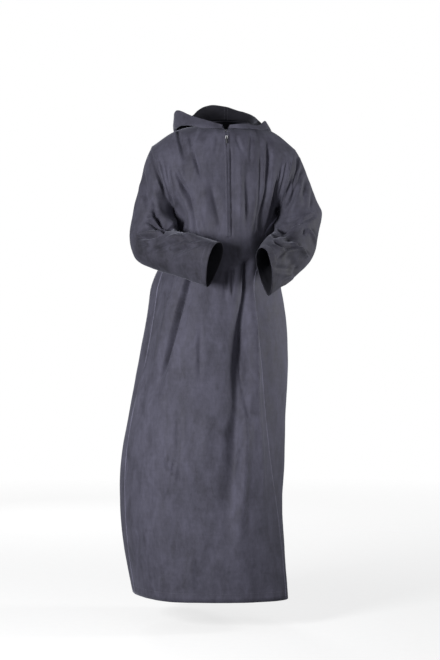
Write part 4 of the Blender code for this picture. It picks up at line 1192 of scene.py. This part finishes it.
def surroundings():
    """A pale background where it is seen, and a fainter light from all round."""
    world = bpy.data.worlds.new("Studio")
    bpy.context.scene.world = world
    n = Nodes(world)
    n.tree.nodes.clear()
    seen = n.add("Background", {"Color": (1, 1, 1, 1), "Strength": BACKGROUND})
    fill = n.add("Background", {"Color": (*AMBIENT_COLOUR, 1), "Strength": AMBIENT})
    path = n.add("LightPath", {})
    ends = {1: fill.outputs["Background"], 2: seen.outputs["Background"]}
    mix = n.add("MixShader", {"Fac": path.outputs["Is Camera Ray"], **ends})
    n.add("OutputWorld", {"Surface": mix.outputs["Shader"]})


def studio():
    for light in LIGHTS:
        area_light(*light)
    surroundings()
    mesh = bmesh.new()
    bmesh.ops.create_circle(mesh, cap_ends=True, segments=FLOOR_SEGMENTS, radius=FLOOR_RADIUS)
    floor = placed("floor", mesh_data("floor", mesh, [pale_floor()]), (0, 0, FLOOR_Z))


def camera():
    scene = bpy.context.scene
    data = bpy.data.cameras.new("camera")
    data.sensor_width = CAMERA_SENSOR
    data.lens = CAMERA_LENS
    data.clip_end = CAMERA_REACH
    scene.camera = placed("camera", data, CAMERA_PLACE)
    scene.camera.rotation_euler = (math.pi / 2, 0, 0)
    scene.view_settings.view_transform = "Standard"
    scene.view_settings.look = "None"


# ---------------------------------------------------------------- the robe's pieces
def slit_rows():
    """How many of the front's fine rows the slit reaches past."""
    middle_z = body_grid(-1)[:, FRONT_HALF_COLUMNS, 2]
    return (np.count_nonzero(middle_z > NECK_FRONT_Z - ZIP_LENGTH) - 1) * ROW_STEPS + 1


def zip_cover(front, rows):
    """The two lips over the zip, and the line of its teeth: its places, the ways across and normals."""
    right = FRONT_HALF_COLUMNS * FRONT_STEPS
    left = right + FRONT_STEPS
    normal = outward(front)[:rows, (right + left) // 2]
    front = front[:rows]
    middle = (front[:, right] + front[:, left]) / 2
    across = unit(front[:, left] - front[:, right])
    lips = {}
    for name, edge, side in (("right", right, -1), ("left", left, 1)):
        beyond = edge + side * (FRONT_STEPS // 2)
        run = unit(front[:, beyond] - front[:, edge])
        inner = middle + across * (side * LIP_APART / 2)
        outer = front[:, edge] + run * (LIP_WIDTH - ZIP_HALF_SLIT)
        lines = []
        for share, full in LIP_SHARES:
            lines.append(inner + (outer - inner) * share + normal * (LIP_LIFT + LIP_THICK * full))
        lips[name] = np.stack(lines[::side], axis=1)[LIP_TOP * ROW_STEPS :]
    return lips, np.concatenate([middle, across, normal], axis=1)


def zip_teeth(line):
    """Small interlocked teeth down the slit, from either side in turn."""
    count = int(length_of(line) / TOOTH_PITCH)
    places = spread(line, (np.arange(count) + 0.5) / count)
    down = unit(np.gradient(places[:, :3], axis=0))
    mesh = bmesh.new()
    for k, (place, run) in enumerate(zip(places, down)):
        side = 1 if k % 2 else -1
        across, out = place[3:6], unit(place[6:])
        tooth = np.eye(4)
        tooth[:3, :3] = np.stack([across, out, run], axis=1) * TOOTH_SIZE
        tooth[:3, 3] = place[:3] + across * side * TOOTH_OUT + out * TOOTH_LIFT
        bmesh.ops.create_cube(mesh, size=1.0, matrix=Matrix(tooth))
    bmesh.ops.recalc_face_normals(mesh, faces=mesh.faces)
    robe_object("zip_teeth", mesh, [metal("Zip teeth metal", TEETH_COLOURS, rough=0.35)])


def suede_pairs():
    """For each look the suede of the cloth's face and of its reverse, which is darkened partly as the
    cloth's back and partly as painted shade.
    """
    pairs = {}
    for look in LOOKS:
        pairs[look.name] = [
            suede(f"Slate suede {look.name}", look.tone, look.streak, look.forearm),
            suede(f"Shaded suede reverse {look.name}", look.tone * REVERSE_SHADE_SHARE, look.streak),
        ]
    return pairs


def cloth_shell(front, back, sleeves, hoods, looks, slit_end):
    """The cloth of body, sleeves and hood, under the names of the nodes that it stands for."""

    def in_slit(row, column):
        first = FRONT_HALF_COLUMNS * FRONT_STEPS
        return first <= column < first + FRONT_STEPS and row < slit_end - 1

    shell = {
        "front_panel": cloth_piece("front_cloth", front, looks["body"], skip=in_slit),
        "back_panel": cloth_piece("back_cloth", back, looks["body"]),
    }
    for side, grid in sleeves.items():
        name = f"sleeve_{side}"
        shell[name] = cloth_piece(f"{name}_cloth", grid, looks["sleeve"], closed=True)
    for side, grid in hoods.items():
        name = f"hood_{side}"
        # The hood's faces take the darker reverse suede and its thickened wall the face: painted shade
        # over the hood, partly its reverse showing.
        shell[name] = cloth_piece(f"{name}_cloth", grid, looks["hood"][::-1])
    return shell


def edge_lines(halves, distance):
    """Lines this far in from the right half's first column and from the left half's last one."""
    return [line_at(halves["right"], "left", distance), line_at(halves["left"], "right", distance)]


def sew(front, back, sleeves, hoods, sewing):
    """The stitches of hem, cuffs and hood."""
    seams = {
        "hem_stitches": [line_at(grid, "bottom", HEM_DEEP) for grid in (front, back)],
        "cuff_right_stitches": [line_at(sleeves["right"], "bottom", CUFF_DEEP, closed=True)],
        "cuff_left_stitches": [line_at(sleeves["left"], "bottom", CUFF_DEEP, closed=True)],
        "hood_rim_stitches": [line_at(grid, "bottom", RIM_DEEP) for grid in hoods.values()],
        "hood_seam_stitches": edge_lines(hoods, SEAM_STITCH_OFF),
    }
    for name, lines in seams.items():
        stitches(name, lines, sewing)


def side_seams(front, mats):
    """The turned edges of the side seams, from the armpits down, in a lighter suede: a painted
    highlight along them.
    """
    armpit_row = (YOKE_ROWS + TORSO_ROWS) * ROW_STEPS
    for edge, side in (("left", "right"), ("right", "left")):
        roll(f"side_seam_{side}", line_at(front, edge, ROLL_WIDE)[armpit_row:], mats)


def zip_up(front, mats, sewing, slit_end):
    """The lips, teeth and stitches of the zip. Returns the lips, named as their nodes."""
    lips, teeth = zip_cover(front, slit_end)
    shell = {}
    for side, grid in lips.items():
        name = f"zip_lip_{side}"
        shell[name] = cloth_piece(f"{name}_cloth", grid, mats, LIP_THICK)
    zip_teeth(teeth)
    stitches("zip_stitches", edge_lines(lips, LIP_STITCH_OFF), sewing)
    return shell


def dress():
    """The robe's cloth, seams and zip. Returns the cloth that stands for the CAD's nodes."""
    front = body_cloth(-1, FRONT_STEPS, FRONT_PIECE)
    back = body_cloth(1, BACK_STEPS, BACK_PIECE)
    sleeves = {side: sleeve_cloth(sleeve) for side, sleeve in SLEEVES.items()}
    hoods = {"right": hood_cloth(-1), "left": hood_cloth(1)}
    slit_end = slit_rows()
    looks = suede_pairs()
    shell = cloth_shell(front, back, sleeves, hoods, looks, slit_end)
    sewing = thread("Slate thread")
    sew(front, back, sleeves, hoods, sewing)
    # The side seams' rolls take the much lighter seam suede: a painted highlight along the seams.
    side_seams(front, looks["seam"][:1])
    shell.update(zip_up(front, looks["body"][:1], sewing, slit_end))
    for node, obj in shell.items():
        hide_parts(node)
    return shell


def finish_hardware():
    """Detailed materials on the CAD nodes that stay."""
    looks = {
        "zip_slider": metal("Slider metal", SLIDER_COLOURS, rough=0.30),
        "zip_pull": metal("Pull metal", PULL_COLOURS, rough=0.34),
        "zip_chain": tape("Zip tape"),
    }
    for node, look in looks.items():
        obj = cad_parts[node]
        obj.data.materials.clear()
        obj.data.materials.append(look)


camera()
studio()
shell = dress()
finish_hardware()
